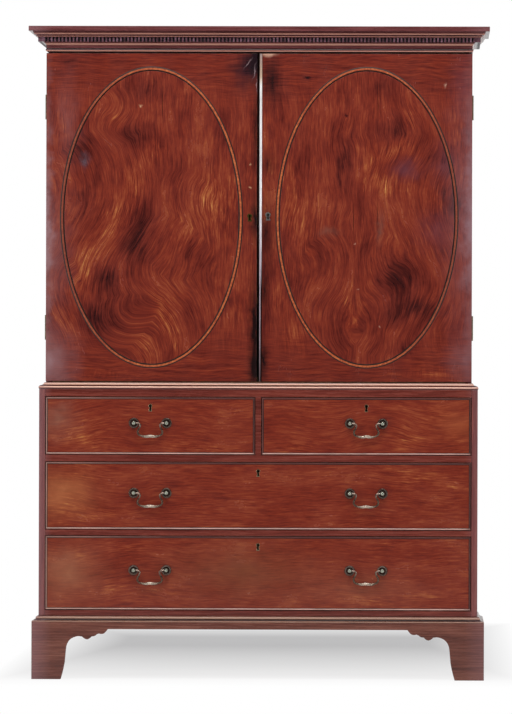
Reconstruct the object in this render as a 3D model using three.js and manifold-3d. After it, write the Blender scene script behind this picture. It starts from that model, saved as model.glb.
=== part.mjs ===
// A linen press in mahogany: a cupboard of sliding trays behind two doors, on a base of four drawers.
// Millimetres, +Z up, the front towards -Y, the origin on the floor under the middle of the cornice.
import * as THREE from 'three';
import { mergeVertices } from 'three/addons/utils/BufferGeometryUtils.js';
import Module from 'manifold-3d';

const wasm = await Module();
wasm.setup();

// Fits: the gap left between glued pieces, the play of trays and of drawers, how far a cut runs past
// and how near two corners of a mesh count as one.
const joinGap = 0.3;
const slidePlay = 1;
const drawerPlay = 1.5;
const overrun = 6;
const mergeTolerance = 0.0003;

// Cupboard carcass.
const pressWidth = 1240;
const pressDepth = 498;
const pressHeight = 960;
const pressBoard = 19;
const backBoard = 12;
const backPlankWidth = 150;
const backGroove = 3;

// Doors.
const doorThickness = 22;
const hingeGap = 1.2;
const doorFootClearance = 4;
const doorHeadClearance = 2;
const leftDoorWidth = 614;
const meetingGap = 3;
const beadWidth = 11.6;
const beadRise = 3.6;
const leftKeyholeInset = 21;
const rightKeyholeInset = 17.5;
const rightKeyholeRise = 3.5;

// Oval inlay let into each door. Its margins are to the sides of the door's field and to its ends.
const leftOvalMargin = 41;
const rightOvalMargin = 39.7;
const ovalEndMargin = 38.5;
const ovalBand = 11.6;
const ovalDepth = 1.6;
const ovalSteps = 24;

// Butt hinges, two to a door.
const hingeHeight = 72;
const hingeFromEnd = 120;
const leafThickness = 2;
const leafWidth = 17;
const knuckleRadius = 3.4;
const pinRadius = 1.5;
const pinOutset = 0.3;
const knuckleClearance = 0.4;
const knuckleSides = 8;

// Base carcass: its stack of rails and drawer openings, from the bottom up.
const waistProjection = 18;
const baseBoard = 18;
const bottomRail = 16;
const bottomOpening = 217;
const lowerRail = 17;
const middleOpening = 198;
const upperRail = 20;
const shortOpening = 169;
const topRail = 22;
const topRailDepth = 70;
const waistHeight = 19;
const dividerWidth = 17;

// Plinth: the moulded frame under the base, and the shaped boards with bracket feet.
const plinthProjection = 19.5;
const plinthBoard = 22;
const plinthBoardHeight = 167;
const plinthFrameHeight = 18;
const plinthFrameWidth = 60;
const apronHeight = 146;
const bracketReach = 222;
const rearBracketWidth = 46;
const rearBracketTaper = 12;
const glueBlock = 34;

// Cornice: a hollow frame with a moulded face on three sides.
const corniceHeight = 76;
const corniceProjection = 50;
const corniceFrame = 36;
const corniceRail = 20;
const fasciaHeight = 14.2;
const bedProjection = 38.4;
const dentilTop = 44.3;
const dentilHeight = 13.1;
const dentilProjection = 23.4;
const dentilBacking = 14;
const dentilStrip = 2.6;
const dentilPitch = 10.6;
const dentilNotch = 5.4;
const dentilCorner = 15;
const neckProjection = 7.3;
const shadowRecess = 5.2;
const shadowHeight = 3.4;

// Drawers: fronts with a cockbead, dovetailed to oak boxes.
const frontThickness = 20;
const cockbeadWidth = 4.2;
const cockbeadRise = 2.8;
const crownShare = 0.75;
const drawerSide = 10;
const drawerBackBoard = 10;
const drawerBottom = 7;
const drawerBottomRise = 8;
const drawerBackClearance = 14;
const sideHeadClearance = 6;
const frontLap = 5;
const tailPitch = 42;
const tailRootShare = 0.3;
const tailSlopeShare = 0.14;

// Keyholes, of the doors and of the drawers: the head's radius, half the foot's width, the length.
const doorKeyholeHead = 3.4;
const doorKeyholeFoot = 2.5;
const doorKeyholeLength = 15.5;
const keyholeHead = 4.2;
const keyholeFoot = 3.2;
const keyholeLength = 19;
const keyholeDrop = 32;

// Swan-neck handles: turned posts with a rosette, and a bail hung between two.
const postSpacing = 95;
const handleRise = 8;
const rosetteRadius = 15;
const rosetteThickness = 2.6;
const rosetteRim = 2.4;
const postNeck = 3.6;
const postReach = 16.5;
const knobRadius = 7.2;
const knobWrapShare = 5 / 6;
const shankRadius = 2.4;
const shankClearance = 0.3;
const shankEnd = 4;
const bailDrop = 39;
const bailRadius = 4.5;
const bailBoreDepth = 5.5;
const bailBoreClearance = 0.5;
const postSides = 8;
const bailSteps = 26;
const bailSides = 6;

// Trays that slide in grooves in the cupboard's sides.
const trayBottom = 9;
const trayWall = 11;
const trayBackHeight = 78;
const trayFrontHeight = 62;
const trayDip = 26;
const trayDipWidth = 340;
const trayGroove = 7;
const trayDoorClearance = 14;
const trayRearClearance = 4;
const trayLevelShares = [0.24, 0.48, 0.72];

// Levels, from the floor up.
const baseZ = plinthBoardHeight + plinthFrameHeight;
const bottomOpeningZ = baseZ + bottomRail;
const lowerRailZ = bottomOpeningZ + bottomOpening;
const middleOpeningZ = lowerRailZ + lowerRail;
const upperRailZ = middleOpeningZ + middleOpening;
const shortOpeningZ = upperRailZ + upperRail;
const topRailZ = shortOpeningZ + shortOpening;
const waistZ = topRailZ + topRail;
const pressZ = waistZ + waistHeight;
const corniceZ = pressZ + pressHeight;
const doorZ = pressZ + doorFootClearance;
const doorHeight = pressHeight - doorFootClearance - doorHeadClearance;

// Planes across the depth, and half widths.
const rearY = (pressDepth + hingeGap + doorThickness + corniceProjection) / 2;
const pressFrontY = rearY - pressDepth;
const doorBackY = pressFrontY - hingeGap;
const doorFaceY = doorBackY - doorThickness;
const baseFrontY = doorFaceY - waistProjection;
const plinthFaceY = baseFrontY - plinthProjection;
const pressHalf = pressWidth / 2;
const baseHalf = pressHalf + waistProjection;
const plinthHalf = baseHalf + plinthProjection;
const baseInside = baseHalf - baseBoard;
const pressInside = pressHalf - pressBoard;
const baseBackY = rearY - backBoard - joinGap;
const meetingX = leftDoorWidth - pressHalf;
const rightDoorX = meetingX + meetingGap;
const ovalHeight = doorHeight - ovalEndMargin * 2;

// Curves take this many straight steps.
const curveSteps = 4;
const runSteps = 3;

const palette = {
  figured: { color: '#7a2f1c', roughness: 0.35, metalness: 0 },
  mahogany: { color: '#6b2c20', roughness: 0.4, metalness: 0 },
  inlay: { color: '#c07a3a', roughness: 0.4, metalness: 0 },
  oak: { color: '#9a7347', roughness: 0.7, metalness: 0 },
  pine: { color: '#8a6a45', roughness: 0.8, metalness: 0 },
  brass: { color: '#8c7b52', roughness: 0.35, metalness: 1 },
};

// A named mesh in one of the finishes.
function piece(name, geometry, finish) {
  const mesh = new THREE.Mesh(geometry, new THREE.MeshStandardMaterial(palette[finish]));
  mesh.name = name;
  return mesh;
}

// A board between two corners.
function board(x0, x1, y0, y1, z0, z1) {
  const box = new THREE.BoxGeometry(x1 - x0, y1 - y0, z1 - z0);
  return box.translate((x0 + x1) / 2, (y0 + y1) / 2, (z0 + z1) / 2);
}

// A closed mesh as a solid that can be joined and cut.
function solid(geometry) {
  const bare = geometry.clone();
  bare.deleteAttribute('normal');
  bare.deleteAttribute('uv');
  const merged = mergeVertices(bare, mergeTolerance);
  return new wasm.Manifold(new wasm.Mesh({
    numProp: 3,
    vertProperties: new Float32Array(merged.attributes.position.array),
    triVerts: new Uint32Array(merged.index.array),
  }));
}

// A joined or cut solid as a geometry again.
function shape(body) {
  const mesh = body.getMesh();
  const geometry = new THREE.BufferGeometry();
  const points = [];
  for (let i = 0; i < mesh.numVert; i += 1) {
    points.push(...mesh.vertProperties.slice(i * mesh.numProp, i * mesh.numProp + 3));
  }
  geometry.setAttribute('position', new THREE.Float32BufferAttribute(points, 3));
  geometry.setIndex(Array.from(mesh.triVerts));
  return geometry;
}

function joined(geometries) {
  return geometries.map(solid).reduce((whole, next) => whole.add(next));
}

function cut(geometry, tools) {
  return shape(tools.map(solid).reduce((whole, tool) => whole.subtract(tool), solid(geometry)));
}

// An outline pushed along one axis from start to end: along x it is drawn in (y, z), along y in (x, z)
// and along z in (x, y).
function extrude(outline, axis, start, end, steps = curveSteps) {
  const geometry = new THREE.ExtrudeGeometry(outline, {
    depth: end - start, bevelEnabled: false, curveSegments: steps,
  });
  const [ex, ey, ez] = {
    x: [new THREE.Vector3(0, 1, 0), new THREE.Vector3(0, 0, 1), new THREE.Vector3(1, 0, 0)],
    y: [new THREE.Vector3(1, 0, 0), new THREE.Vector3(0, 0, 1), new THREE.Vector3(0, -1, 0)],
    z: [new THREE.Vector3(1, 0, 0), new THREE.Vector3(0, 1, 0), new THREE.Vector3(0, 0, 1)],
  }[axis];
  geometry.applyMatrix4(new THREE.Matrix4().makeBasis(ex, ey, ez));
  const shift = axis === 'y' ? end : start;
  return geometry.translate(...['x', 'y', 'z'].map((name) => (name === axis ? shift : 0)));
}

function rectangle(x0, x1, y0, y1) {
  return new THREE.Shape([
    new THREE.Vector2(x0, y0), new THREE.Vector2(x1, y0),
    new THREE.Vector2(x1, y1), new THREE.Vector2(x0, y1),
  ]);
}

// A cylinder along one axis, from start to end.
function rod(radius, axis, a, b, start, end, sides = knuckleSides) {
  const circle = new THREE.Shape();
  const ring = [];
  for (let i = 0; i < sides; i += 1) {
    const turn = (i / sides) * Math.PI * 2;
    ring.push(new THREE.Vector2(a + radius * Math.cos(turn), b + radius * Math.sin(turn)));
  }
  circle.setFromPoints(ring);
  return extrude(circle, axis, start, end);
}

// Six times the volume that a triangle spans with the origin.
function span(points, [a, b, c]) {
  return points[a].dot(new THREE.Vector3().crossVectors(points[b], points[c]));
}

// A skin over rings of points, with a flat cap on the first and last. The outline is any one ring
// drawn flat, in the same order, and says how the caps are filled.
function loft(rings, outline) {
  const count = outline.length;
  const points = rings.flat();
  const faces = [];
  for (let r = 0; r < rings.length - 1; r += 1) {
    for (let i = 0; i < count; i += 1) {
      const j = (i + 1) % count;
      const [a, b] = [r * count + i, r * count + j];
      faces.push([a, b, a + count], [b, b + count, a + count]);
    }
  }
  const last = (rings.length - 1) * count;
  for (const [a, b, c] of THREE.ShapeUtils.triangulateShape(outline, [])) {
    const turned = THREE.ShapeUtils.isClockWise(outline);
    faces.push(turned ? [a, b, c] : [a, c, b]);
    faces.push(turned ? [last + a, last + c, last + b] : [last + a, last + b, last + c]);
  }
  const volume = faces.reduce((sum, face) => sum + span(points, face), 0);
  const order = volume < 0 ? faces.map(([a, b, c]) => [a, c, b]) : faces;
  const geometry = new THREE.BufferGeometry().setFromPoints(points);
  return geometry.setIndex(order.flat());
}

// A moulding carried round the left, front and right of a case and mitred at its corners. The
// profile is drawn in (projection, height) from the case's faces and its foot.
function mouldingRound(outline, half, frontY, z) {
  const stations = [
    (p) => [-half - p, rearY],
    (p) => [-half - p, frontY - p],
    (p) => [half + p, frontY - p],
    (p) => [half + p, rearY],
  ];
  const rings = stations.map((place) => outline.map(({ x, y }) => {
    const [px, py] = place(x);
    return new THREE.Vector3(px, py, z + y);
  }));
  return loft(rings, outline);
}

// Places given in shares of a span across and of a span up.
function placed(shares, x0, x1, z0, z1) {
  return shares.map(([u, v]) => new THREE.Vector2(x0 + (x1 - x0) * u, z0 + (z1 - z0) * v));
}

// A keyhole round (x, z): a round head on a tapered slot.
function keyhole(x, z, head, foot, length) {
  const outline = new THREE.Shape();
  const neck = head / 2;
  const headZ = z + length / 2 - head;
  const footZ = z - length / 2;
  const neckZ = headZ - Math.sqrt(head ** 2 - neck ** 2);
  const opening = Math.asin(neck / head);
  outline.moveTo(x - foot, footZ);
  outline.lineTo(x + foot, footZ);
  outline.lineTo(x + neck, neckZ);
  outline.absarc(x, headZ, head, opening - Math.PI / 2, -opening - Math.PI / 2, false);
  outline.closePath();
  return outline;
}

// Cupboard carcass. The sides are grooved for the trays.
const trayZs = trayLevelShares.map((share) => pressZ + share * pressHeight);

function pressSide(sign) {
  const outline = new THREE.Shape();
  const inner = pressInside;
  const foot = pressZ + joinGap;
  outline.moveTo(sign * pressHalf, foot);
  outline.lineTo(sign * inner, foot);
  for (const z of trayZs) {
    const floor = z - joinGap;
    const roof = z + trayBottom + slidePlay;
    outline.lineTo(sign * inner, floor);
    outline.lineTo(sign * (inner + trayGroove), floor);
    outline.lineTo(sign * (inner + trayGroove), roof);
    outline.lineTo(sign * inner, roof);
  }
  outline.lineTo(sign * inner, corniceZ - joinGap);
  outline.lineTo(sign * pressHalf, corniceZ - joinGap);
  outline.closePath();
  const whole = extrude(outline, 'y', pressFrontY, rearY);
  return cut(whole, hingeZs.flatMap((z) => hingeSeat(sign, z, pressFrontY, 1)));
}

// A back of upright boards, with a groove at each joint between two boards.
function boardedBack(half, z0, z1) {
  const outline = new THREE.Shape();
  const front = rearY - backBoard;
  const planks = Math.round((half * 2) / backPlankWidth);
  const width = (half * 2) / planks;
  outline.moveTo(-half, front);
  outline.lineTo(half, front);
  outline.lineTo(half, rearY);
  for (let i = planks - 1; i > 0; i -= 1) {
    const x = i * width - half;
    outline.lineTo(x + backGroove / 2, rearY);
    outline.lineTo(x, rearY - backGroove);
    outline.lineTo(x - backGroove / 2, rearY);
  }
  outline.lineTo(-half, rearY);
  outline.closePath();
  return extrude(outline, 'z', z0, z1);
}

function pressPieces() {
  const half = pressInside - joinGap;
  const innerBackY = rearY - backBoard - joinGap;
  const [foot, head] = [pressZ + joinGap, corniceZ - joinGap];
  const floor = board(-half, half, pressFrontY, innerBackY, foot, pressZ + pressBoard);
  const roof = board(-half, half, pressFrontY, innerBackY, corniceZ - pressBoard, head);
  return [
    piece('press_side_left', pressSide(-1), 'mahogany'),
    piece('press_side_right', pressSide(1), 'mahogany'),
    piece('press_bottom', floor, 'pine'),
    piece('press_top', roof, 'pine'),
    piece('press_back', boardedBack(half, foot, head), 'pine'),
  ];
}

// Cornice. Its neck climbs from the recess over the doors to the foot of the dentils: a bead, a
// quirk, a flat band, a cove and a fillet. Its bed mould climbs from the dentils' top to the soffit
// of the fascia: a small bead, a quirk, an ovolo and two fillets.
const neckShares = [
  [0.24, 0], [0.46, 0.03], [0.57, 0.11], [0.6, 0.19], [0.53, 0.28], [0.36, 0.33], [0.34, 0.36],
  [0.44, 0.36], [0.44, 0.54], [0.46, 0.64], [0.53, 0.74], [0.67, 0.83], [0.84, 0.885], [1, 0.9],
  [1, 1],
];
const bedShares = [
  [0.08, 0], [0.08, 0.08], [0.2, 0.08], [0.33, 0.12], [0.38, 0.2], [0.33, 0.28], [0.22, 0.32],
  [0.3, 0.34], [0.54, 0.37], [0.7, 0.44], [0.79, 0.55], [0.8, 0.68], [0.87, 0.7], [0.87, 0.79],
  [1, 0.81], [1, 1],
];

function corniceProfile() {
  const dentilFoot = dentilTop - dentilHeight;
  const soffit = corniceHeight - fasciaHeight;
  return [
    new THREE.Vector2(-corniceFrame, 0),
    new THREE.Vector2(-shadowRecess, 0),
    new THREE.Vector2(-shadowRecess, shadowHeight),
    ...placed(neckShares, -shadowRecess, neckProjection, shadowHeight, dentilFoot),
    new THREE.Vector2(dentilBacking, dentilFoot),
    new THREE.Vector2(dentilBacking, dentilTop),
    ...placed(bedShares, dentilProjection, bedProjection, dentilTop, soffit),
    new THREE.Vector2(corniceProjection, soffit),
    new THREE.Vector2(corniceProjection, corniceHeight),
    new THREE.Vector2(-corniceFrame, corniceHeight),
  ];
}

function cornice() {
  const face = mouldingRound(corniceProfile(), pressHalf, doorFaceY, corniceZ);
  const half = pressHalf - corniceFrame / 2;
  const top = corniceZ + corniceHeight - fasciaHeight;
  const rail = board(-half, half, rearY - corniceRail, rearY, corniceZ, top);
  return shape(joined([face, rail]));
}

// Places of the notches along a run of dentils that has a plain block at each end.
function notchStarts(length) {
  const count = Math.floor((length - dentilCorner * 2) / dentilPitch);
  const first = (length - (count - 1) * dentilPitch - dentilNotch) / 2;
  return Array.from({ length: count }, (_, i) => first + i * dentilPitch);
}

// The dentil course is one strip, notched right through its height, planted round the cornice.
function dentilCourse() {
  const tooth = dentilProjection;
  const root = dentilBacking + dentilStrip;
  const inside = dentilBacking + joinGap;
  const frontLength = (pressHalf + tooth) * 2;
  const sideLength = rearY - (doorFaceY - tooth);
  const outline = new THREE.Shape();
  outline.moveTo(-pressHalf - tooth, rearY);
  for (const start of notchStarts(sideLength)) {
    const y = rearY - start;
    outline.lineTo(-pressHalf - tooth, y);
    outline.lineTo(-pressHalf - root, y);
    outline.lineTo(-pressHalf - root, y - dentilNotch);
    outline.lineTo(-pressHalf - tooth, y - dentilNotch);
  }
  outline.lineTo(-pressHalf - tooth, doorFaceY - tooth);
  for (const start of notchStarts(frontLength)) {
    const x = start - pressHalf - tooth;
    outline.lineTo(x, doorFaceY - tooth);
    outline.lineTo(x, doorFaceY - root);
    outline.lineTo(x + dentilNotch, doorFaceY - root);
    outline.lineTo(x + dentilNotch, doorFaceY - tooth);
  }
  outline.lineTo(pressHalf + tooth, doorFaceY - tooth);
  for (const start of notchStarts(sideLength)) {
    const y = doorFaceY - tooth + start;
    outline.lineTo(pressHalf + tooth, y);
    outline.lineTo(pressHalf + root, y);
    outline.lineTo(pressHalf + root, y + dentilNotch);
    outline.lineTo(pressHalf + tooth, y + dentilNotch);
  }
  outline.lineTo(pressHalf + tooth, rearY);
  outline.lineTo(pressHalf + inside, rearY);
  outline.lineTo(pressHalf + inside, doorFaceY - inside);
  outline.lineTo(-pressHalf - inside, doorFaceY - inside);
  outline.lineTo(-pressHalf - inside, rearY);
  outline.closePath();
  const top = corniceZ + dentilTop - joinGap;
  return extrude(outline, 'z', top - dentilHeight + joinGap, top);
}

// Hinges. The pin stands just outside the corner between the door's back and the case.
const pinX = pressHalf + pinOutset;
const pinY = pressFrontY - hingeGap / 2;
const hingeZs = [doorZ + hingeFromEnd, doorZ + doorHeight - hingeFromEnd - hingeHeight];
const knuckleHeight = hingeHeight / 3;

// The room for one hinge: a round channel for the knuckles and a shallow bed for the leaf, cut into
// the case (inward 1) or into the door (inward -1) from the plane where the leaf lies flush.
function hingeSeat(sign, z, faceY, inward) {
  const low = z - joinGap;
  const high = z + hingeHeight + joinGap;
  const [x0, x1] = [sign * (pinX - leafWidth - joinGap), sign * (pinX + overrun)];
  const [y0, y1] = [faceY - inward * overrun, faceY + inward * (leafThickness + joinGap)];
  const bed = board(
    Math.min(x0, x1), Math.max(x0, x1), Math.min(y0, y1), Math.max(y0, y1), low, high,
  );
  const channel = rod(knuckleRadius + knuckleClearance, 'z', sign * pinX, pinY, low, high);
  return [bed, channel];
}

// One leaf: a plate short of the knuckles, with a wing out to each knuckle of its own.
function hingeLeaf(sign, z, inward, knuckles) {
  const faceY = inward > 0 ? pressFrontY : doorBackY;
  const backY = faceY + inward * leafThickness;
  const [y0, y1] = [Math.min(faceY, backY), Math.max(faceY, backY)];
  const plateEnd = pinX - knuckleRadius - knuckleClearance;
  const xs = (a, b) => [Math.min(sign * a, sign * b), Math.max(sign * a, sign * b)];
  const plate = board(...xs(pinX - leafWidth, plateEnd), y0, y1, z, z + hingeHeight);
  const parts = [plate];
  for (const i of knuckles) {
    const low = z + i * knuckleHeight + joinGap / 2;
    const high = low + knuckleHeight - joinGap;
    parts.push(board(...xs(plateEnd - leafThickness, pinX - pinRadius * 2), y0, y1, low, high));
    parts.push(rod(knuckleRadius, 'z', sign * pinX, pinY, low, high));
  }
  return joined(parts);
}

function caseLeaf(sign, z) {
  const bore = rod(pinRadius + joinGap, 'z', sign * pinX, pinY, z - overrun, z + hingeHeight + overrun);
  return shape(hingeLeaf(sign, z, 1, [0, 2]).subtract(solid(bore)));
}

function doorLeaf(sign, z) {
  const pin = rod(pinRadius, 'z', sign * pinX, pinY, z, z + hingeHeight);
  return shape(hingeLeaf(sign, z, -1, [1]).add(solid(pin)));
}

// Doors. Each field has an oval let into it, and the right door carries the bead of the meeting.
function oval(x, width, height) {
  const outline = new THREE.Shape();
  outline.absellipse(x, doorZ + doorHeight / 2, width / 2, height / 2, 0, Math.PI * 2, false, 0);
  return new THREE.Shape(outline.getPoints(ovalSteps).slice(0, -1));
}

function ovalRing({ fieldX0, fieldX1, ovalMargin }, y0, y1, play) {
  const middle = (fieldX0 + fieldX1) / 2;
  const width = fieldX1 - fieldX0 - ovalMargin * 2;
  const outer = extrude(oval(middle, width + play * 2, ovalHeight + play * 2), 'y', y0, y1);
  const inset = ovalBand * 2 + play * 2;
  const inner = extrude(
    oval(middle, width - inset, ovalHeight - inset), 'y', y0 - overrun, y1 + overrun,
  );
  return cut(outer, [inner]);
}

const doorFields = [
  {
    sign: -1, name: 'left', x0: -pressHalf, x1: meetingX, fieldX0: -pressHalf, fieldX1: meetingX,
    ovalMargin: leftOvalMargin, keyX: meetingX - leftKeyholeInset, keyRise: 0,
  },
  {
    sign: 1, name: 'right', x0: rightDoorX, x1: pressHalf,
    fieldX0: rightDoorX + beadWidth, fieldX1: pressHalf, ovalMargin: rightOvalMargin,
    keyX: rightDoorX + beadWidth + rightKeyholeInset, keyRise: rightKeyholeRise,
  },
];

function door(field) {
  const { sign, x0, x1, keyX, keyRise } = field;
  const keyZ = doorZ + doorHeight / 2 + keyRise;
  const slab = board(x0, x1, doorFaceY, doorBackY, doorZ, doorZ + doorHeight);
  const groove = ovalRing(field, doorFaceY - overrun, doorFaceY + ovalDepth + joinGap, joinGap);
  const hole = keyhole(keyX, keyZ, doorKeyholeHead, doorKeyholeFoot, doorKeyholeLength);
  const lock = extrude(hole, 'y', doorFaceY - overrun, doorBackY + overrun);
  const seats = hingeZs.flatMap((z) => hingeSeat(sign, z, doorBackY, -1));
  return cut(slab, [groove, lock, ...seats]);
}

function meetingBead() {
  const outline = new THREE.Shape();
  const back = doorFaceY - joinGap;
  const middle = rightDoorX + beadWidth / 2;
  outline.moveTo(rightDoorX, back);
  outline.absellipse(middle, back, beadWidth / 2, beadRise, Math.PI, Math.PI * 2, false, 0);
  outline.closePath();
  return extrude(outline, 'z', doorZ, doorZ + doorHeight, curveSteps * 2);
}

function doorPieces() {
  const pieces = [piece('meeting_bead', meetingBead(), 'brass')];
  for (const field of doorFields) {
    pieces.push(piece(`door_${field.name}`, door(field), 'figured'));
    const inlay = ovalRing(field, doorFaceY, doorFaceY + ovalDepth, 0);
    pieces.push(piece(`oval_inlay_${field.name}`, inlay, 'inlay'));
    ['lower', 'upper'].forEach((level, i) => {
      const name = `hinge_${field.name}_${level}`;
      pieces.push(piece(`${name}_case_leaf`, caseLeaf(field.sign, hingeZs[i]), 'brass'));
      pieces.push(piece(`${name}_door_leaf`, doorLeaf(field.sign, hingeZs[i]), 'brass'));
    });
  }
  return pieces;
}

// Trays: a floor that runs in the grooves, low walls, and a front dipped for the hand.
function trayFront(half, y0, z) {
  const outline = new THREE.Shape();
  const top = z + trayFrontHeight;
  outline.moveTo(-half, z);
  outline.lineTo(half, z);
  outline.lineTo(half, top);
  outline.lineTo(trayDipWidth / 2, top);
  outline.bezierCurveTo(
    trayDipWidth / 3, top, trayDipWidth / 3, top - trayDip, 0, top - trayDip,
  );
  outline.bezierCurveTo(
    -trayDipWidth / 3, top - trayDip, -trayDipWidth / 3, top, -trayDipWidth / 2, top,
  );
  outline.lineTo(-half, top);
  outline.closePath();
  return extrude(outline, 'y', y0, y0 + trayWall, curveSteps * 2);
}

function tray(z) {
  const half = pressInside - slidePlay;
  const tongue = pressInside + trayGroove - slidePlay;
  const front = pressFrontY + trayDoorClearance;
  const rear = rearY - backBoard - trayRearClearance;
  const backTop = z + trayBackHeight;
  return shape(joined([
    board(-tongue, tongue, front, rear, z, z + trayBottom),
    board(-half, trayWall - half, front, rear, z, backTop),
    board(half - trayWall, half, front, rear, z, backTop),
    board(-half, half, rear - trayWall, rear, z, backTop),
    trayFront(half, front, z),
  ]));
}

// Base carcass.
function baseSide(sign) {
  const [x0, x1] = [sign * baseInside, sign * baseHalf];
  const [left, right] = [Math.min(x0, x1), Math.max(x0, x1)];
  return board(left, right, baseFrontY, rearY, baseZ + joinGap, waistZ - joinGap);
}

function railBoard(z0, z1) {
  const half = baseInside - joinGap;
  return board(-half, half, baseFrontY, baseBackY, z0, z1);
}

function upperDustboard() {
  const shelf = railBoard(upperRailZ, shortOpeningZ);
  const divider = board(
    -dividerWidth / 2, dividerWidth / 2, baseFrontY, baseBackY, upperRailZ, topRailZ - joinGap,
  );
  return shape(joined([shelf, divider]));
}

// The base's top board, moulded on three edges, with the top rail under its front. The moulding
// steps in from the base's face to the cupboard: a bead that swells out a little, a quirk, an ovolo
// and a ledge, in shares of the step and of the board's thickness.
const waistShares = [
  [0, 0], [-0.05, 0.08], [-0.09, 0.17], [-0.1, 0.27], [-0.07, 0.38], [0.01, 0.47], [0.11, 0.52],
  [0.13, 0.56], [0.22, 0.57], [0.4, 0.6], [0.56, 0.68], [0.69, 0.8], [0.75, 0.93], [0.83, 0.94],
  [0.83, 1],
];

function baseTop() {
  const outline = rectangle(0, 1, 0, 1).getPoints();
  const rings = placed(waistShares, 0, waistProjection, waistZ, pressZ).map(({ x, y: z }) => {
    const half = baseHalf - x;
    return [
      new THREE.Vector3(-half, baseFrontY + x, z), new THREE.Vector3(half, baseFrontY + x, z),
      new THREE.Vector3(half, rearY, z), new THREE.Vector3(-half, rearY, z),
    ];
  });
  const half = baseInside - joinGap;
  const rail = board(
    -half, half, baseFrontY, baseFrontY + topRailDepth, topRailZ, waistZ + waistHeight / 2,
  );
  return shape(joined([loft(rings, outline), rail]));
}

function basePieces() {
  const half = baseInside - joinGap;
  return [
    piece('base_side_left', baseSide(-1), 'mahogany'),
    piece('base_side_right', baseSide(1), 'mahogany'),
    piece('base_back', boardedBack(half, baseZ + joinGap, waistZ - joinGap), 'pine'),
    piece('base_bottom', railBoard(baseZ + joinGap, bottomOpeningZ), 'mahogany'),
    piece('lower_dustboard', railBoard(lowerRailZ, middleOpeningZ), 'mahogany'),
    piece('upper_dustboard', upperDustboard(), 'mahogany'),
    piece('base_top', baseTop(), 'mahogany'),
  ];
}

// The frame under the base, moulded on three sides, with a rail across its back. Its moulding climbs
// from the boards' face to the base's: an ovolo, a quirk and a torus.
const plinthShares = [
  [1, 0], [1, 0.08], [0.95, 0.16], [0.83, 0.22], [0.67, 0.25], [0.57, 0.32], [0.55, 0.42],
  [0.35, 0.42], [0.42, 0.54], [0.41, 0.68], [0.33, 0.83], [0.2, 0.94], [0.06, 1],
];

function plinthFrame() {
  const top = plinthFrameHeight;
  const profile = [
    new THREE.Vector2(-plinthFrameWidth, 0),
    ...placed(plinthShares, 0, plinthProjection, 0, top),
    new THREE.Vector2(-plinthFrameWidth, top),
  ];
  const sweep = mouldingRound(profile, baseHalf, baseFrontY, plinthBoardHeight);
  const half = baseHalf - plinthFrameWidth / 2;
  const rail = board(
    -half, half, rearY - plinthFrameWidth, rearY, plinthBoardHeight, plinthBoardHeight + top,
  );
  return shape(joined([sweep, rail]));
}

// The inner edge of a bracket foot, from its toe up to the apron, in shares of the bracket's reach
// and of the apron's height. Runs are smooth, and two runs meet in a cusp.
const bracketRunShares = [
  [[0.382, 0], [0.41, 0.15], [0.436, 0.342], [0.448, 0.541], [0.457, 0.66], [0.48, 0.745],
    [0.519, 0.808], [0.57, 0.845], [0.617, 0.859], [0.664, 0.85]],
  [[0.664, 0.85], [0.692, 0.812], [0.727, 0.794], [0.758, 0.809], [0.788, 0.853]],
  [[0.788, 0.853], [0.829, 0.861], [0.85, 0.889], [0.882, 0.911]],
  [[0.882, 0.911], [0.918, 0.9], [0.953, 0.916]],
  [[0.953, 0.916], [0.98, 0.957], [1, 1]],
];

function bracketEdge() {
  return bracketRunShares.flatMap((run) => {
    const places = run.map(([u, v]) => new THREE.Vector2(u * bracketReach, v * apronHeight));
    return new THREE.SplineCurve(places).getPoints((run.length - 1) * runSteps / 2).slice(0, -1);
  }).concat(new THREE.Vector2(bracketReach, apronHeight));
}

// A plinth board between two outer corners, with a bracket foot at each end.
function bracketedBoard(start, end, top) {
  const edge = bracketEdge();
  const outline = new THREE.Shape();
  outline.moveTo(start, 0);
  edge.forEach(({ x, y }) => outline.lineTo(start + x, y));
  edge.slice().reverse().forEach(({ x, y }) => outline.lineTo(end - x, y));
  outline.lineTo(end, 0);
  outline.lineTo(end, top);
  outline.lineTo(start, top);
  outline.closePath();
  return outline;
}

function plinthFront() {
  const top = plinthBoardHeight - joinGap;
  const innerY = plinthFaceY + plinthBoard;
  const whole = extrude(bracketedBoard(-plinthHalf, plinthHalf, top), 'y', plinthFaceY, innerY);
  const outer = plinthHalf - joinGap * Math.SQRT2;
  const inner = outer - plinthBoard;
  const mitred = new THREE.Shape([
    new THREE.Vector2(-outer, plinthFaceY), new THREE.Vector2(outer, plinthFaceY),
    new THREE.Vector2(inner, innerY), new THREE.Vector2(-inner, innerY),
  ]);
  return shape(solid(whole).intersect(solid(extrude(mitred, 'z', -overrun, top + overrun))));
}

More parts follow.
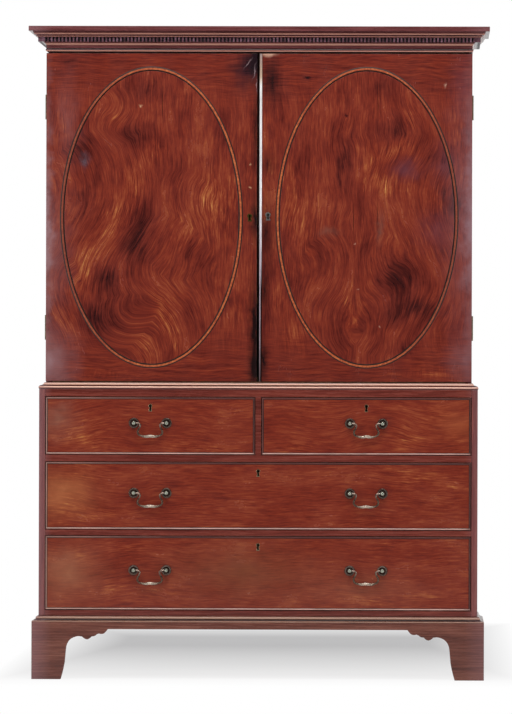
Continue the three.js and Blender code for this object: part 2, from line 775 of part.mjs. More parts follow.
// A side board has a mitred front end, a glue block behind its front foot and a plain tapered
// bracket across the back of its rear foot.
function plinthSide(sign) {
  const top = plinthBoardHeight - joinGap;
  const whole = extrude(
    bracketedBoard(plinthFaceY, rearY, top), 'x',
    sign < 0 ? -plinthHalf : plinthHalf - plinthBoard, sign < 0 ? plinthBoard - plinthHalf : plinthHalf,
  );
  const innerX = plinthHalf - plinthBoard;
  const mitred = new THREE.Shape([
    new THREE.Vector2(sign * plinthHalf, plinthFaceY),
    new THREE.Vector2(sign * plinthHalf, rearY),
    new THREE.Vector2(sign * innerX, rearY),
    new THREE.Vector2(sign * innerX, plinthFaceY + plinthBoard),
  ]);
  const mitredBoard = solid(whole).intersect(solid(extrude(mitred, 'z', -overrun, top + overrun)));
  const blockY = plinthFaceY + plinthBoard + joinGap;
  const blockX = [sign * (innerX - glueBlock), sign * (innerX + plinthBoard / 2)];
  blockX.sort((a, b) => a - b);
  const block = board(...blockX, blockY, blockY + glueBlock, 0, top);
  const bracket = new THREE.Shape([
    new THREE.Vector2(sign * (plinthHalf - plinthBoard / 2), 0),
    new THREE.Vector2(sign * (plinthHalf - rearBracketWidth), 0),
    new THREE.Vector2(sign * (plinthHalf - rearBracketWidth - rearBracketTaper), top),
    new THREE.Vector2(sign * (plinthHalf - plinthBoard / 2), top),
  ]);
  const rear = extrude(bracket, 'y', rearY - plinthBoard, rearY);
  return shape(mitredBoard.add(solid(block)).add(solid(rear)));
}

// Drawers, by their opening: left and right edges, floor and height, and the handles across them.
const dividerHalf = dividerWidth / 2;
const handleX = (baseInside + dividerHalf) / 2;
const drawerPlan = [
  { name: 'short_left', x0: -baseInside, x1: -dividerHalf, z: shortOpeningZ, height: shortOpening },
  { name: 'short_right', x0: dividerHalf, x1: baseInside, z: shortOpeningZ, height: shortOpening },
  { name: 'middle', x0: -baseInside, x1: baseInside, z: middleOpeningZ, height: middleOpening },
  { name: 'bottom', x0: -baseInside, x1: baseInside, z: bottomOpeningZ, height: bottomOpening },
];

const handlePlan = [
  { name: 'short_left', x: -handleX, z: shortOpeningZ, height: shortOpening },
  { name: 'short_right', x: handleX, z: shortOpeningZ, height: shortOpening },
  { name: 'middle_left', x: -handleX, z: middleOpeningZ, height: middleOpening },
  { name: 'middle_right', x: handleX, z: middleOpeningZ, height: middleOpening },
  { name: 'bottom_left', x: -handleX, z: bottomOpeningZ, height: bottomOpening },
  { name: 'bottom_right', x: handleX, z: bottomOpeningZ, height: bottomOpening },
].map((handle) => ({ ...handle, z: handle.z + handle.height / 2 + handleRise }));

// The tails at the front end of a drawer side, as the four corners of each, in (y, z).
function tailCorners(tipY, rootY, z0, z1, play) {
  const count = Math.max(2, Math.round((z1 - z0) / tailPitch));
  const pitch = (z1 - z0) / count;
  return Array.from({ length: count }, (_, i) => {
    const middle = z0 + i * pitch + pitch / 2;
    const root = pitch * tailRootShare + play;
    const tip = root + (rootY - tipY) * tailSlopeShare;
    return [[rootY, middle - root], [tipY, middle - tip], [tipY, middle + tip], [rootY, middle + root]];
  });
}

const frontBackY = baseFrontY + frontThickness;
const tailTipY = baseFrontY + frontLap;
const drawerRearY = baseBackY - drawerBackClearance;

function drawerSideBoard(x0, x1, z0, z1) {
  const outline = new THREE.Shape();
  outline.moveTo(drawerRearY, z0);
  outline.lineTo(drawerRearY, z1);
  outline.lineTo(frontBackY + joinGap, z1);
  for (const corners of tailCorners(tailTipY, frontBackY + joinGap, z0, z1, 0).reverse()) {
    corners.reverse().forEach(([y, z]) => outline.lineTo(y, z));
  }
  outline.lineTo(frontBackY + joinGap, z0);
  outline.closePath();
  return extrude(outline, 'x', x0, x1);
}

function drawerBox({ x0, x1, z, height }) {
  const [left, right] = [x0 + drawerPlay, x1 - drawerPlay];
  const foot = z + joinGap;
  const top = z + height - sideHeadClearance;
  const floor = foot + drawerBottomRise;
  const front = frontBackY + joinGap;
  const inset = drawerSide / 2;
  return shape(joined([
    drawerSideBoard(left, left + drawerSide, foot, top),
    drawerSideBoard(right - drawerSide, right, foot, top),
    board(left, right, drawerRearY - drawerBackBoard, drawerRearY, floor, top - sideHeadClearance),
    board(left + inset, right - inset, front, drawerRearY, floor, floor + drawerBottom),
  ]));
}

// A drawer front: a slab whose edge swells into a cockbead round the field, bored for the shanks
// of its posts, cut for its key and socketed at both ends for the tails of its sides.
function drawerFront({ x0, x1, z, height }) {
  const bead = new THREE.Path();
  bead.moveTo(0, 0);
  const crown = cockbeadRise / crownShare;
  bead.bezierCurveTo(0, crown, cockbeadWidth, crown, cockbeadWidth, 0);
  const steps = [new THREE.Vector2(0, -frontThickness), ...bead.getPoints(curveSteps + 1)];
  const [left, right] = [x0 + drawerPlay, x1 - drawerPlay];
  const [foot, top] = [z + drawerPlay, z + height - drawerPlay];
  const rings = steps.map(({ x, y }) => [
    new THREE.Vector3(left + x, baseFrontY - y, foot + x),
    new THREE.Vector3(right - x, baseFrontY - y, foot + x),
    new THREE.Vector3(right - x, baseFrontY - y, top - x),
    new THREE.Vector3(left + x, baseFrontY - y, top - x),
  ]);
  const slab = loft(rings, rectangle(0, 1, 0, 1).getPoints());
  const [before, behind] = [baseFrontY - overrun, frontBackY + overrun];
  const keyZ = z + height - keyholeDrop;
  const hole = keyhole((x0 + x1) / 2, keyZ, keyholeHead, keyholeFoot, keyholeLength);
  const tools = [extrude(hole, 'y', before, behind)];
  const own = handlePlan.filter(({ x, z: hz }) => x > x0 && x < x1 && hz > z && hz < z + height);
  for (const handle of own) {
    for (const side of [-1, 1]) {
      const x = handle.x + side * postSpacing / 2;
      tools.push(rod(shankRadius + shankClearance, 'y', x, handle.z, before, behind, postSides));
    }
  }
  const sideTop = z + height - sideHeadClearance;
  const tails = tailCorners(tailTipY - joinGap, frontBackY + overrun, z + joinGap, sideTop, joinGap);
  for (const corners of tails) {
    const outline = new THREE.Shape(corners.map(([y, tz]) => new THREE.Vector2(y, tz)));
    tools.push(extrude(outline, 'x', left - overrun, left + drawerSide + joinGap));
    tools.push(extrude(outline, 'x', right - drawerSide - joinGap, right + overrun));
  }
  return cut(slab, tools);
}

// A turned post: from the knob in front, down its neck to the dished rosette, then the shank through
// the drawer front to its end behind it. The bail's end turns in a bore in the knob's inner side.
function post(x, z, side) {
  const face = joinGap;
  const plate = face + rosetteThickness;
  const wrap = Math.PI * knobWrapShare;
  const knobBack = postReach + knobRadius * Math.cos(wrap);
  const profile = [new THREE.Vector2(0, -postReach - knobRadius)];
  for (let i = 1; i <= curveSteps; i += 1) {
    const turn = (i / curveSteps) * wrap;
    const reach = postReach + knobRadius * Math.cos(turn);
    profile.push(new THREE.Vector2(knobRadius * Math.sin(turn), -reach));
  }
  profile.push(
    new THREE.Vector2(postNeck, -knobBack + joinGap),
    new THREE.Vector2(postNeck, -plate),
    new THREE.Vector2(rosetteRadius - rosetteRim * 2, -plate + rosetteThickness / 2),
    new THREE.Vector2(rosetteRadius - rosetteRim, -plate),
    new THREE.Vector2(rosetteRadius, -plate + rosetteThickness / 2),
    new THREE.Vector2(rosetteRadius, -face),
    new THREE.Vector2(shankRadius, -face),
    new THREE.Vector2(shankRadius, frontThickness + shankEnd),
    new THREE.Vector2(0, frontThickness + shankEnd),
  );
  const turned = new THREE.LatheGeometry(profile, postSides).translate(x, baseFrontY, z);
  const boreStart = x - side * (knobRadius - bailBoreDepth);
  const boreEnd = x - side * (knobRadius + overrun);
  const bore = rod(
    pinShare * bailRadius + bailBoreClearance, 'x', baseFrontY - postReach, z,
    Math.min(boreStart, boreEnd), Math.max(boreStart, boreEnd), postSides,
  );
  return cut(turned, [bore]);
}

// Half of a bail's route from its pin in the post to the middle of the grip, in shares of half the
// post spacing, of the drop and of the grip's radius.
const pinShare = 0.45;
const bailRouteShares = [
  [0.9, 0, 0.45], [0.8, 0, 0.45], [0.69, -0.02, 0.5], [0.612, -0.11, 0.58], [0.615, -0.25, 0.6],
  [0.68, -0.42, 0.62], [0.742, -0.58, 0.64], [0.75, -0.74, 0.64], [0.672, -0.885, 0.64],
  [0.52, -0.965, 0.64], [0.33, -1.01, 0.8], [0.15, -0.995, 0.98], [0, -0.97, 1],
];

// A bail is a round bar swept along its route. A route point's middle coordinate holds the bar's
// radius there, so that the thickness flows as smoothly as the line does.
function bail(x, z) {
  const half = bailRouteShares.map(([u, v, w]) => new THREE.Vector3(
    u * postSpacing / 2, w * bailRadius, v * bailDrop,
  ));
  const mirrored = half.slice(0, -1).reverse().map((p) => new THREE.Vector3(-p.x, p.y, p.z));
  const route = new THREE.CatmullRomCurve3([...half, ...mirrored], false, 'centripetal');
  const circle = Array.from({ length: bailSides }, (_, i) => {
    const turn = (i / bailSides) * Math.PI * 2;
    return new THREE.Vector2(Math.cos(turn), Math.sin(turn));
  });
  const rings = Array.from({ length: bailSteps + 1 }, (_, i) => {
    const place = route.getPointAt(i / bailSteps);
    const tangent = route.getTangentAt(i / bailSteps).setY(0).normalize();
    return circle.map(({ x: across, y: out }) => new THREE.Vector3(
      x + place.x + tangent.z * across * place.y,
      baseFrontY - postReach + out * place.y,
      z + place.z - tangent.x * across * place.y,
    ));
  });
  return loft(rings, circle);
}

function drawerPieces() {
  return drawerPlan.flatMap((drawer) => [
    piece(`drawer_front_${drawer.name}`, drawerFront(drawer), 'figured'),
    piece(`drawer_box_${drawer.name}`, drawerBox(drawer), 'oak'),
  ]);
}

function handlePieces() {
  return handlePlan.flatMap(({ name, x, z }) => [
    piece(`bail_${name}`, bail(x, z), 'brass'),
    piece(`post_${name}_a`, post(x - postSpacing / 2, z, -1), 'brass'),
    piece(`post_${name}_b`, post(x + postSpacing / 2, z, 1), 'brass'),
  ]);
}

const group = new THREE.Group();
group.add(
  piece('plinth_front', plinthFront(), 'mahogany'),
  piece('plinth_side_left', plinthSide(-1), 'mahogany'),
  piece('plinth_side_right', plinthSide(1), 'mahogany'),
  piece('plinth_frame', plinthFrame(), 'mahogany'),
  ...basePieces(),
  ...pressPieces(),
  piece('cornice', cornice(), 'mahogany'),
  piece('dentil_course', dentilCourse(), 'mahogany'),
  ...doorPieces(),
  ...['lower', 'middle', 'upper'].map((name, i) => piece(`tray_${name}`, tray(trayZs[i]), 'oak')),
  ...drawerPieces(),
  ...handlePieces(),
);

export default group;
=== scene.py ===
"""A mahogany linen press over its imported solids: polished and figured wood, light banding let into
the doors, patinated swan-neck handles and the small brass fittings. Metres, +Z up, front towards -Y."""

from math import pi, radians

import bmesh
import bpy
import numpy as np
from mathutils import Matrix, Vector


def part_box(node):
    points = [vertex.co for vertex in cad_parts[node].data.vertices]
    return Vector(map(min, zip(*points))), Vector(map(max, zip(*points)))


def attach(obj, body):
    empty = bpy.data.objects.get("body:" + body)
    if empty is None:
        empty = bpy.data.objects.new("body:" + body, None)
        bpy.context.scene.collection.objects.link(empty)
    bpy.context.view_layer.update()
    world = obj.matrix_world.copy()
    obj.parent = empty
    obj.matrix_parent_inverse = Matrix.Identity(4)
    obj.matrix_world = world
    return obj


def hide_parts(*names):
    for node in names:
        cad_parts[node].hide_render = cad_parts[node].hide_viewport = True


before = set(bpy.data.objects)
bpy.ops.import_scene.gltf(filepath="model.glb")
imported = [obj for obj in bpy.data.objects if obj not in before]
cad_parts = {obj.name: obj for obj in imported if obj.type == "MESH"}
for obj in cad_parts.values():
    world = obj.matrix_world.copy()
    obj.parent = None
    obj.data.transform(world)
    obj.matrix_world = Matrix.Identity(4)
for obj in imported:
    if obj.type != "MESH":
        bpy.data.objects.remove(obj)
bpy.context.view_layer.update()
mm = 0.001


# Plinth: solid mahogany boards with shaped bracket feet, mitred at the corners, under a moulded frame.
# The boards are planed, stained and polished with shellac, so the arrises are slightly rounded.
def linear(colour):
    """An sRGB hex value as linear light: a channel up to 0.04045 is divided by 12.92, and above that
    0.055 is added, the sum divided by 1.055 and raised to the power 2.4."""
    channels = np.array([int(colour[i:i + 2], 16) for i in (1, 3, 5)]) / 255
    low = channels / 12.92
    high = ((channels + 0.055) / 1.055) ** 2.4
    return (*np.where(channels <= 0.04045, low, high).tolist(), 1.0)


def add(tree, kind, inputs=(), out=0, stops=(), **settings):
    """Adds a shader node with its settings, sets or links its inputs, and returns one output."""
    node = tree.nodes.new(f"ShaderNode{kind}")
    for name, value in settings.items():
        setattr(node, name, value)
    for name, value in dict(inputs).items():
        if isinstance(value, bpy.types.NodeSocket):
            tree.links.new(value, node.inputs[name])
        else:
            node.inputs[name].default_value = value
    for i, (place, colour) in enumerate(stops):
        stop = node.color_ramp.elements[i] if i < 2 else node.color_ramp.elements.new(place)
        stop.position, stop.color = place, linear(colour)
    return node.outputs[out] if node.outputs else None


def new_finish(name):
    """An empty material, its node tree, and the place on the object that its patterns read."""
    material = bpy.data.materials.new(name)
    material.use_nodes = True
    tree = material.node_tree
    tree.nodes.clear()
    return material, tree, add(tree, "TexCoord", out="Object")


MIXED = {"out": 2, "data_type": "RGBA"}
MULTIPLIED = {**MIXED, "blend_type": "MULTIPLY"}


def fibres(tree, place, size, detail=4, rough=0.6, twist=0.0):
    """Noise whose cells have a size along each axis: the place is divided by the size there."""
    scale = [1 / length for length in size]
    stretched = add(tree, "Mapping", {"Vector": place, "Scale": scale})
    return add(tree, "TexNoise", {"Vector": stretched, "Scale": 1, "Detail": detail, "Roughness": rough,
                                  "Distortion": twist})


def surface(tree, colour, rough, relief=None, strength=0.0, depth=0.0, **inputs):
    """Ends a material with a shader of a colour and a roughness. A relief stands up by its depth
    times its height, and the strength says how much of that the light shows. Wood, wax and polish
    bend light by 1.5, and a metal keeps the shader's own value."""
    if relief:
        bump = {"Height": relief, "Strength": strength, "Distance": depth}
        inputs["Normal"] = add(tree, "Bump", bump)
    if "Metallic" not in inputs:
        inputs["IOR"] = 1.5
    inputs.update({"Base Color": colour, "Roughness": rough})
    add(tree, "OutputMaterial", {"Surface": add(tree, "BsdfPrincipled", inputs)})


def counted(tree, axis):
    """The share of the way that the UV map counts across a profile (X) or along its rows (Y)."""
    return add(tree, "SeparateXYZ", {"Vector": add(tree, "UVMap", uv_map="place")}, out=axis)


# Straight-grained mahogany, planed and shellac polished: ribbons a finger wide, fibres a few
# millimetres wide and open pores, a warm gloss, and a mauve-grey tint towards the outer corners.
# A pattern's size is its length along the grain and its width across it.
RIBBON, FIBRE, PORE = (420 * mm, 26 * mm), (130 * mm, 5 * mm), (14 * mm, 1.6 * mm)
GRAIN_DEPTH = 0.3 * mm
EDGE_TINT_START, EDGE_TINT_END, EDGE_TINT_FRONT, EDGE_TINT_BACK = 600 * mm, 650 * mm, 220 * mm, 100 * mm
RIGHT_EDGE_TINT, BACK_EDGE_TINT = 0.65, 0.25


def straight_mahogany(name, along, tones, edge_tint=0.6, gloss=(0.2, 0.34), highlight_shares=(), shade_shares=(),
                      highlight_tint=None):
    """Noise stretched along the grain at three sizes picks the tone. A mauve-grey tint rises from zero
    to its share as the distance from the middle of the press goes from the start to the end, is stronger
    on the left, and fades towards the back. The gloss is the range of the roughness. On a moulding,
    the highlight and shade shares give, across the profile that the UV map's columns count, the shares
    of the highlight tint, a painted highlight on the crests, and of a near-black, painted shade in the
    hollows."""
    material, tree, place = new_finish(name)
    ribbon, fibre, pore = [
        fibres(tree, place, [length if axis in along else width for axis in "xyz"], twist=0.2)
        for length, width in (RIBBON, FIBRE, PORE)]
    tone = add(tree, "Mix", {0: 0.5, 2: ribbon, 3: fibre})
    colour = add(tree, "ValToRGB", {"Fac": tone}, stops=tones)
    pores = add(tree, "MapRange", {"Value": pore, "From Min": 0.34, "From Max": 0.48, "To Min": 0.72})
    colour = add(tree, "Mix", {0: 1, 6: colour, 7: pores}, **MULTIPLIED)
    # Painted shade in the hollows and painted highlights on the crests of a moulding's profile.
    if highlight_shares:
        column = counted(tree, "X")
        for stops, tint in ((shade_shares, "#260d0b"), (highlight_shares, highlight_tint)):
            share = add(tree, "ValToRGB", {"Fac": column}, stops=stops)
            colour = add(tree, "Mix", {0: share, 6: colour, 7: linear(tint)}, **MIXED)
    x, y = [add(tree, "SeparateXYZ", {"Vector": place}, out=axis) for axis in "XY"]
    # A mauve-grey tint towards the outer edges, stronger on the left and at the front.
    distance = add(tree, "Math", {0: x}, operation="ABSOLUTE")
    most = add(tree, "MapRange", {"Value": x, "From Min": -EDGE_TINT_START, "From Max": EDGE_TINT_START,
                                  "To Min": edge_tint, "To Max": edge_tint * RIGHT_EDGE_TINT})
    edge = add(tree, "MapRange", {"Value": distance, "From Min": EDGE_TINT_START, "From Max": EDGE_TINT_END,
                                  "To Max": most})
    ahead = add(tree, "MapRange", {"Value": y, "From Min": -EDGE_TINT_FRONT, "From Max": -EDGE_TINT_BACK,
                                   "To Min": 1, "To Max": BACK_EDGE_TINT})
    edge = add(tree, "Math", {0: edge, 1: ahead}, operation="MULTIPLY")
    colour = add(tree, "Mix", {0: edge, 6: colour, 7: linear("#8a6468")}, **MIXED)
    rough = add(tree, "MapRange", {"Value": fibre, "To Min": gloss[0], "To Max": gloss[1]})
    surface(tree, colour, rough, relief=pore, strength=0.25, depth=GRAIN_DEPTH)
    return material


CASE_TONES = ((0.34, "#4a1812"), (0.5, "#6b2b22"), (0.66, "#853f32"))
PLINTH_TONES = ((0.34, "#46211a"), (0.5, "#67372c"), (0.66, "#824f40"))
NONE, HALF, FULL = "#000000", "#bcbcbc", "#ffffff"
# Shares across each moulding's profile: painted highlight on its crests, painted shade in its hollows.
WAIST_HIGHLIGHTS = ((0.0, NONE), (0.07, NONE), (0.085, FULL), (0.122, FULL), (0.145, NONE), (0.32, NONE),
                (0.34, FULL), (0.39, FULL), (0.42, NONE), (0.46, HALF))
WAIST_SHADES = ((0.0, FULL), (0.04, HALF), (0.07, NONE), (0.145, NONE), (0.17, HALF), (0.28, HALF),
                 (0.32, NONE))
PLINTH_HIGHLIGHTS = ((0.0, HALF), (0.03, FULL), (0.07, HALF), (0.14, NONE), (0.3, NONE), (0.335, FULL),
                 (0.37, FULL), (0.43, NONE))
PLINTH_SHADES = ((0.0, NONE), (0.14, NONE), (0.2, FULL), (0.28, FULL), (0.31, NONE))
level_mahogany = straight_mahogany("level_mahogany_shellac_polished", "xy", CASE_TONES)
upright_mahogany = straight_mahogany("upright_mahogany_shellac_polished", "z", CASE_TONES, edge_tint=0.85)
plinth_mahogany = straight_mahogany("plinth_mahogany_worn_polish", "xy", PLINTH_TONES, edge_tint=0.5)
waist_mahogany = straight_mahogany(
    "waist_mahogany_painted_highlights_and_shade", "xy", CASE_TONES, edge_tint=0.5, gloss=(0.16, 0.3),
    highlight_shares=WAIST_HIGHLIGHTS, shade_shares=WAIST_SHADES, highlight_tint="#e8b8a2")
plinth_moulding_mahogany = straight_mahogany(
    "plinth_moulding_mahogany_painted_highlights_and_shade", "xy", PLINTH_TONES, edge_tint=0.4, gloss=(0.2, 0.36),
    highlight_shares=PLINTH_HIGHLIGHTS, shade_shares=PLINTH_SHADES, highlight_tint="#aa8470")

SMOOTH_ANGLE, CREASE_ANGLE, FLAT_ANGLE = radians(38), radians(35), radians(1)
WELD, SEAM = 0.01 * mm, 0.001 * mm
RUN_STEPS, HAIR_RISE = 9, 0.04 * mm


def stand_for(piece, body, replaced=()):
    """Links a piece, hangs it on the body that it rides on, and hides the solids that it replaces."""
    bpy.context.scene.collection.objects.link(piece)
    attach(piece, body)
    if replaced:
        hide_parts(*replaced)


def round_arrises(piece, arris):
    """Rounds the sharp edges, and turns the normals to the broad faces."""
    bevel = piece.modifiers.new("arrises", "BEVEL")
    bevel.width, bevel.segments = arris, 2
    bevel.limit_method, bevel.angle_limit = "ANGLE", SMOOTH_ANGLE
    bevel.miter_outer = "MITER_ARC"
    weighted = piece.modifiers.new("faces", "WEIGHTED_NORMAL")
    weighted.keep_sharp = False


def eased(node, body, finish, arris=0.7 * mm, whole_faces=True):
    """A copy of a solid stands for it, with its triangles welded (into whole faces where that is
    asked) and its arrises rounded."""
    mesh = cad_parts[node].data.copy()
    shell = bmesh.new()
    shell.from_mesh(mesh)
    bmesh.ops.remove_doubles(shell, verts=shell.verts, dist=WELD)
    if whole_faces:
        bmesh.ops.dissolve_limit(shell, angle_limit=FLAT_ANGLE, verts=shell.verts, edges=shell.edges)
    shell.to_mesh(mesh)
    shell.free()
    mesh.materials.clear()
    mesh.materials.append(finish)
    mesh.shade_smooth()
    mesh.set_sharp_from_angle(angle=SMOOTH_ANGLE)
    piece = bpy.data.objects.new(f"{node}_wood", mesh)
    round_arrises(piece, arris)
    stand_for(piece, body, [node])


def skin(name, grid, finish, body, replaced=()):
    """A closed mesh over a grid of points, rows by columns. Neighbours make quads, coinciding points
    at seams and poles are welded, and the UV map counts columns and rows from 0 to 1."""
    rows, columns = grid.shape[:2]
    corner = np.arange(rows * columns).reshape(rows, columns)
    quads = np.stack([corner[:-1, :-1], corner[:-1, 1:], corner[1:, 1:], corner[1:, :-1]], -1)
    quads = quads.reshape(-1, 4)
    mesh = bpy.data.meshes.new(name)
    mesh.from_pydata(grid.reshape(-1, 3).tolist(), [], quads.tolist())
    row, column = np.divmod(quads.ravel(), columns)
    places = np.stack([column / (columns - 1), row / (rows - 1)], -1)
    mesh.uv_layers.new(name="place").data.foreach_set("uv", places.ravel())
    shell = bmesh.new()
    shell.from_mesh(mesh)
    bmesh.ops.remove_doubles(shell, verts=shell.verts, dist=SEAM)
    bmesh.ops.recalc_face_normals(shell, faces=shell.faces)
    shell.to_mesh(mesh)
    shell.free()
    mesh.shade_smooth()
    mesh.set_sharp_from_angle(angle=CREASE_ANGLE)
    mesh.materials.append(finish)
    piece = bpy.data.objects.new(name, mesh)
    stand_for(piece, body, replaced)
    return piece


def smooth_line(marks, steps):
    """Points on a smooth line through marks. Between two marks each value is a cubic, whose slope at
    a mark comes from the marks beside it, and whose measure is the root of the chord."""
    marks = np.array(marks, float)
    chord = np.linalg.norm(np.diff(marks[:, :2], axis=0), axis=1) ** 0.5
    knot = np.concatenate([[0], np.cumsum(chord)])
    slope = np.gradient(marks, knot, axis=0)
    at = np.linspace(0, knot[-1], steps)
    i = np.clip(np.searchsorted(knot, at, side="right") - 1, 0, len(knot) - 2)
    width = (knot[i + 1] - knot[i])[:, None]
    t = (at - knot[i])[:, None] / width
    return ((2 * t ** 3 - 3 * t ** 2 + 1) * marks[i] + (t ** 3 - 2 * t ** 2 + t) * width * slope[i]
            + (3 * t ** 2 - 2 * t ** 3) * marks[i + 1] + (t ** 3 - t ** 2) * width * slope[i + 1])


def moulding_run(runs, half, face_y, foot_z, back):
    """A profile carried along the left side, the front and the right side of the press, and mitred
    at the corners. The profile is runs of marks in mm, outwards from the face and upwards, each run
    smooth. Each point is raised a hair more than the last, so that level marks still rise. At the
    two ends each height is drawn in to the back as a cap."""
    profile = [smooth_line(run, RUN_STEPS) if len(run) > 2 else run for run in runs]
    out, up = np.concatenate(profile).T * mm
    up = up + np.linspace(0, HAIR_RISE, len(up))
    out = np.concatenate([out, np.full(len(out), -back), out[:1]])
    up = np.concatenate([up, up[::-1], up[:1]])
    reach = np.array([0, 1, 1, 1, 1, 0])[:, None]
    fronted = np.array([0, 0, 1, 1, 0, 0])[:, None]
    side = np.array([-1, -1, -1, 1, 1, 1])[:, None]
    out = reach * (out + back) - back
    y = rear_y + fronted * (face_y - out - rear_y)
    return np.stack([side * (half + out), y, np.broadcast_to(foot_z + up, out.shape)], -1)


def plank(name, low, high, finish, arris=0.8 * mm):
    """A board between two corners: a point, two rectangles and a point, with its arrises rounded."""
    across = np.array([0, 0, 1, 1, 0])
    along = np.array([0, 1, 1, 0, 0])
    spread = np.array([0, 1, 1, 0])[:, None]
    x = (low[0] + high[0]) / 2 + spread * (across - 0.5) * (high[0] - low[0])
    y = (low[1] + high[1]) / 2 + spread * (along - 0.5) * (high[1] - low[1])
    z = np.array([low[2], low[2], high[2], high[2]])[:, None] + 0 * x
    round_arrises(skin(name, np.stack([x, y, z], -1), finish, "root"), arris)


for node in ("plinth_front", "plinth_side_left", "plinth_side_right"):
    eased(node, "root", plinth_mahogany)

rear_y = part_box("press_back")[1].y
base_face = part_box("base_side_left")[0].y
base_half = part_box("base_side_right")[1].x
PLINTH_RUNS = (
    ((19.5, 0), (19.5, 1.4)),
    ((19.5, 1.5), (18.5, 2.9), (16.2, 4.0), (13.1, 4.5), (11.1, 5.8), (10.7, 7.5)), ((6.8, 7.6),),
    ((6.8, 7.7), (8.2, 9.7), (8.0, 12.2), (6.4, 14.9), (3.9, 16.9), (1.2, 17.95)))
PLINTH_FRAME = 60 * mm
low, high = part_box("plinth_frame")
skin("plinth_moulding", moulding_run(PLINTH_RUNS, base_half, base_face, low.z, PLINTH_FRAME),
     plinth_moulding_mahogany, "root", ["plinth_frame"])
plank("plinth_rear_rail", (PLINTH_FRAME - base_half, rear_y - PLINTH_FRAME, low.z),
      (base_half - PLINTH_FRAME, rear_y, high.z), plinth_mahogany)


# Base carcass: sides with their grain upright, rails and a moulded top board with their grain along
# the front, all of straight mahogany. The back is of upright pine boards, left bare.
for node in ("base_bottom", "lower_dustboard", "upper_dustboard"):
    eased(node, "root", level_mahogany, arris=0.5 * mm)
for node in ("base_side_left", "base_side_right"):
    eased(node, "root", upright_mahogany, arris=1.2 * mm)
WAIST_RUNS = (
    ((0, 0), (0.9, 1.5), (1.6, 3.2), (1.8, 5.1), (1.2, 7.2), (-0.2, 8.9), (-2, 9.9)), ((-2.4, 10.6),),
    ((-4, 10.8), (-7.2, 11.4), (-10.1, 12.9), (-12.4, 15.2), (-13.5, 17.7)),
    ((-14.9, 17.8), (-14.9, 18.95)))
WAIST_HEIGHT, WAIST_BACK, TOP_RAIL_DEPTH, JOINT_PLAY = 19 * mm, 40 * mm, 70 * mm, 0.3 * mm
low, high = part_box("base_top")
board_foot = high.z - WAIST_HEIGHT
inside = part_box("base_side_right")[0].x - JOINT_PLAY
skin("waist_moulding", moulding_run(WAIST_RUNS, base_half, base_face, board_foot, WAIST_BACK),
     waist_mahogany, "root", ["base_top"])
plank("base_top_board", (WAIST_BACK - base_half, base_face + WAIST_BACK, board_foot),
      (base_half - WAIST_BACK, rear_y, high.z), level_mahogany)
plank("top_rail", (-inside, base_face, low.z), (inside, base_face + TOP_RAIL_DEPTH, board_foot),
      level_mahogany, arris=0.5 * mm)

# Pine, sawn and left bare for two centuries: grey-brown, dull, with growth rings drawn out along the
# boards and a few knots.
KNOT_SPACING, RING_WIDTH, RING_LENGTH, SAW_DEPTH = 260 * mm, 16 * mm, 700 * mm, 0.6 * mm
pine, tree, place = new_finish("pine_sawn_and_aged")
rings = fibres(tree, place, (RING_WIDTH, RING_WIDTH, RING_LENGTH), twist=0.8)
knots = add(tree, "TexVoronoi", {"Vector": place, "Scale": 1 / KNOT_SPACING})
knot = add(tree, "MapRange", {"Value": knots, "From Min": 0.03, "From Max": 0.06, "To Min": 0.45})
colour = add(tree, "ValToRGB", {"Fac": rings},
             stops=((0.32, "#5d432b"), (0.5, "#7d6042"), (0.68, "#94774f")))
colour = add(tree, "Mix", {0: 1, 6: colour, 7: knot}, **MULTIPLIED)
surface(tree, colour, rough=0.8, relief=rings, strength=0.5, depth=SAW_DEPTH)
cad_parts["base_back"].material_slots[0].material = pine


# Drawer fronts: veneered in figured mahogany inside a cockbead. The veneer of each front was cut from
# another part of the log, so each has its own flames.
# Figured mahogany veneer, scraped and shellac polished: fine hairs that lean and swirl, with golden
# plumes where the fibres stand on end, and near-black clouds where the crotch was.
FIGURE_TONES = ((0.0, "#260b0c"), (0.2, "#431411"), (0.36, "#64221a"), (0.5, "#7a2d1d"),
                (0.62, "#8c3f25"), (0.78, "#a35c32"), (1.0, "#c48d4e"))
BLOTCH, STREAK, HAIR = (160 * mm, 70 * mm), (110 * mm, 9 * mm), (45 * mm, 3 * mm)
WANDER_SIZE, WANDER = 130 * mm, 26 * mm
FRAY_SIZE, FRAY = 60 * mm, 85 * mm
CLOUD_FRAY_SIZE, CLOUD_FRAY = 90 * mm, 60 * mm
STAIN_FRAY_SIZE, STAIN_FRAY = 26 * mm, 26 * mm
CRACK_HALF, CRACK_SHARE, CRACK_WANDER_SIZE, CRACK_WANDER = 1.5, 1.6, 60 * mm, 8 * mm
CLAMP_START, CLAMP_END = 300 * mm, 420 * mm
PATCH_DEPTH = 10


def patch_sum(tree, place, y, patches, fall="QUADRATIC_SPHERE"):
    """The sum of soft elliptical patches, given as x, z, half width and half height in mm, lean in
    degrees and strength. Each adds its strength times the share of the way from its rim in to its
    middle, squared in a quadratic fall. Its depth in metres is far more than the wood's."""
    total = 0.0
    for x, z, across, up, lean, strength in patches:
        inside = add(tree, "Mapping", {"Vector": place, "Location": (x * mm, y, z * mm),
                                       "Rotation": (0, radians(lean), 0),
                                       "Scale": (across * mm, PATCH_DEPTH, up * mm)},
                     vector_type="TEXTURE")
        soft = add(tree, "TexGradient", {"Vector": inside}, out="Fac", gradient_type=fall)
        total = add(tree, "Math", {0: soft, 1: strength, 2: total}, operation="MULTIPLY_ADD")
    return total


def shaken(tree, place, size, swing, detail=2, rough=0.5):
    """The place moved sideways and up by noise of a size, by up to about half the swing."""
    noise = add(tree, "TexNoise", {"Vector": place, "Scale": 1 / size, "Detail": detail,
                                   "Roughness": rough}, out="Color")
    noise = add(tree, "VectorMath", {0: noise, 1: (0.5, 0.5, 0.5)}, operation="SUBTRACT")
    return add(tree, "VectorMath", {0: noise, 1: (swing, 0, swing), 2: place}, operation="MULTIPLY_ADD")


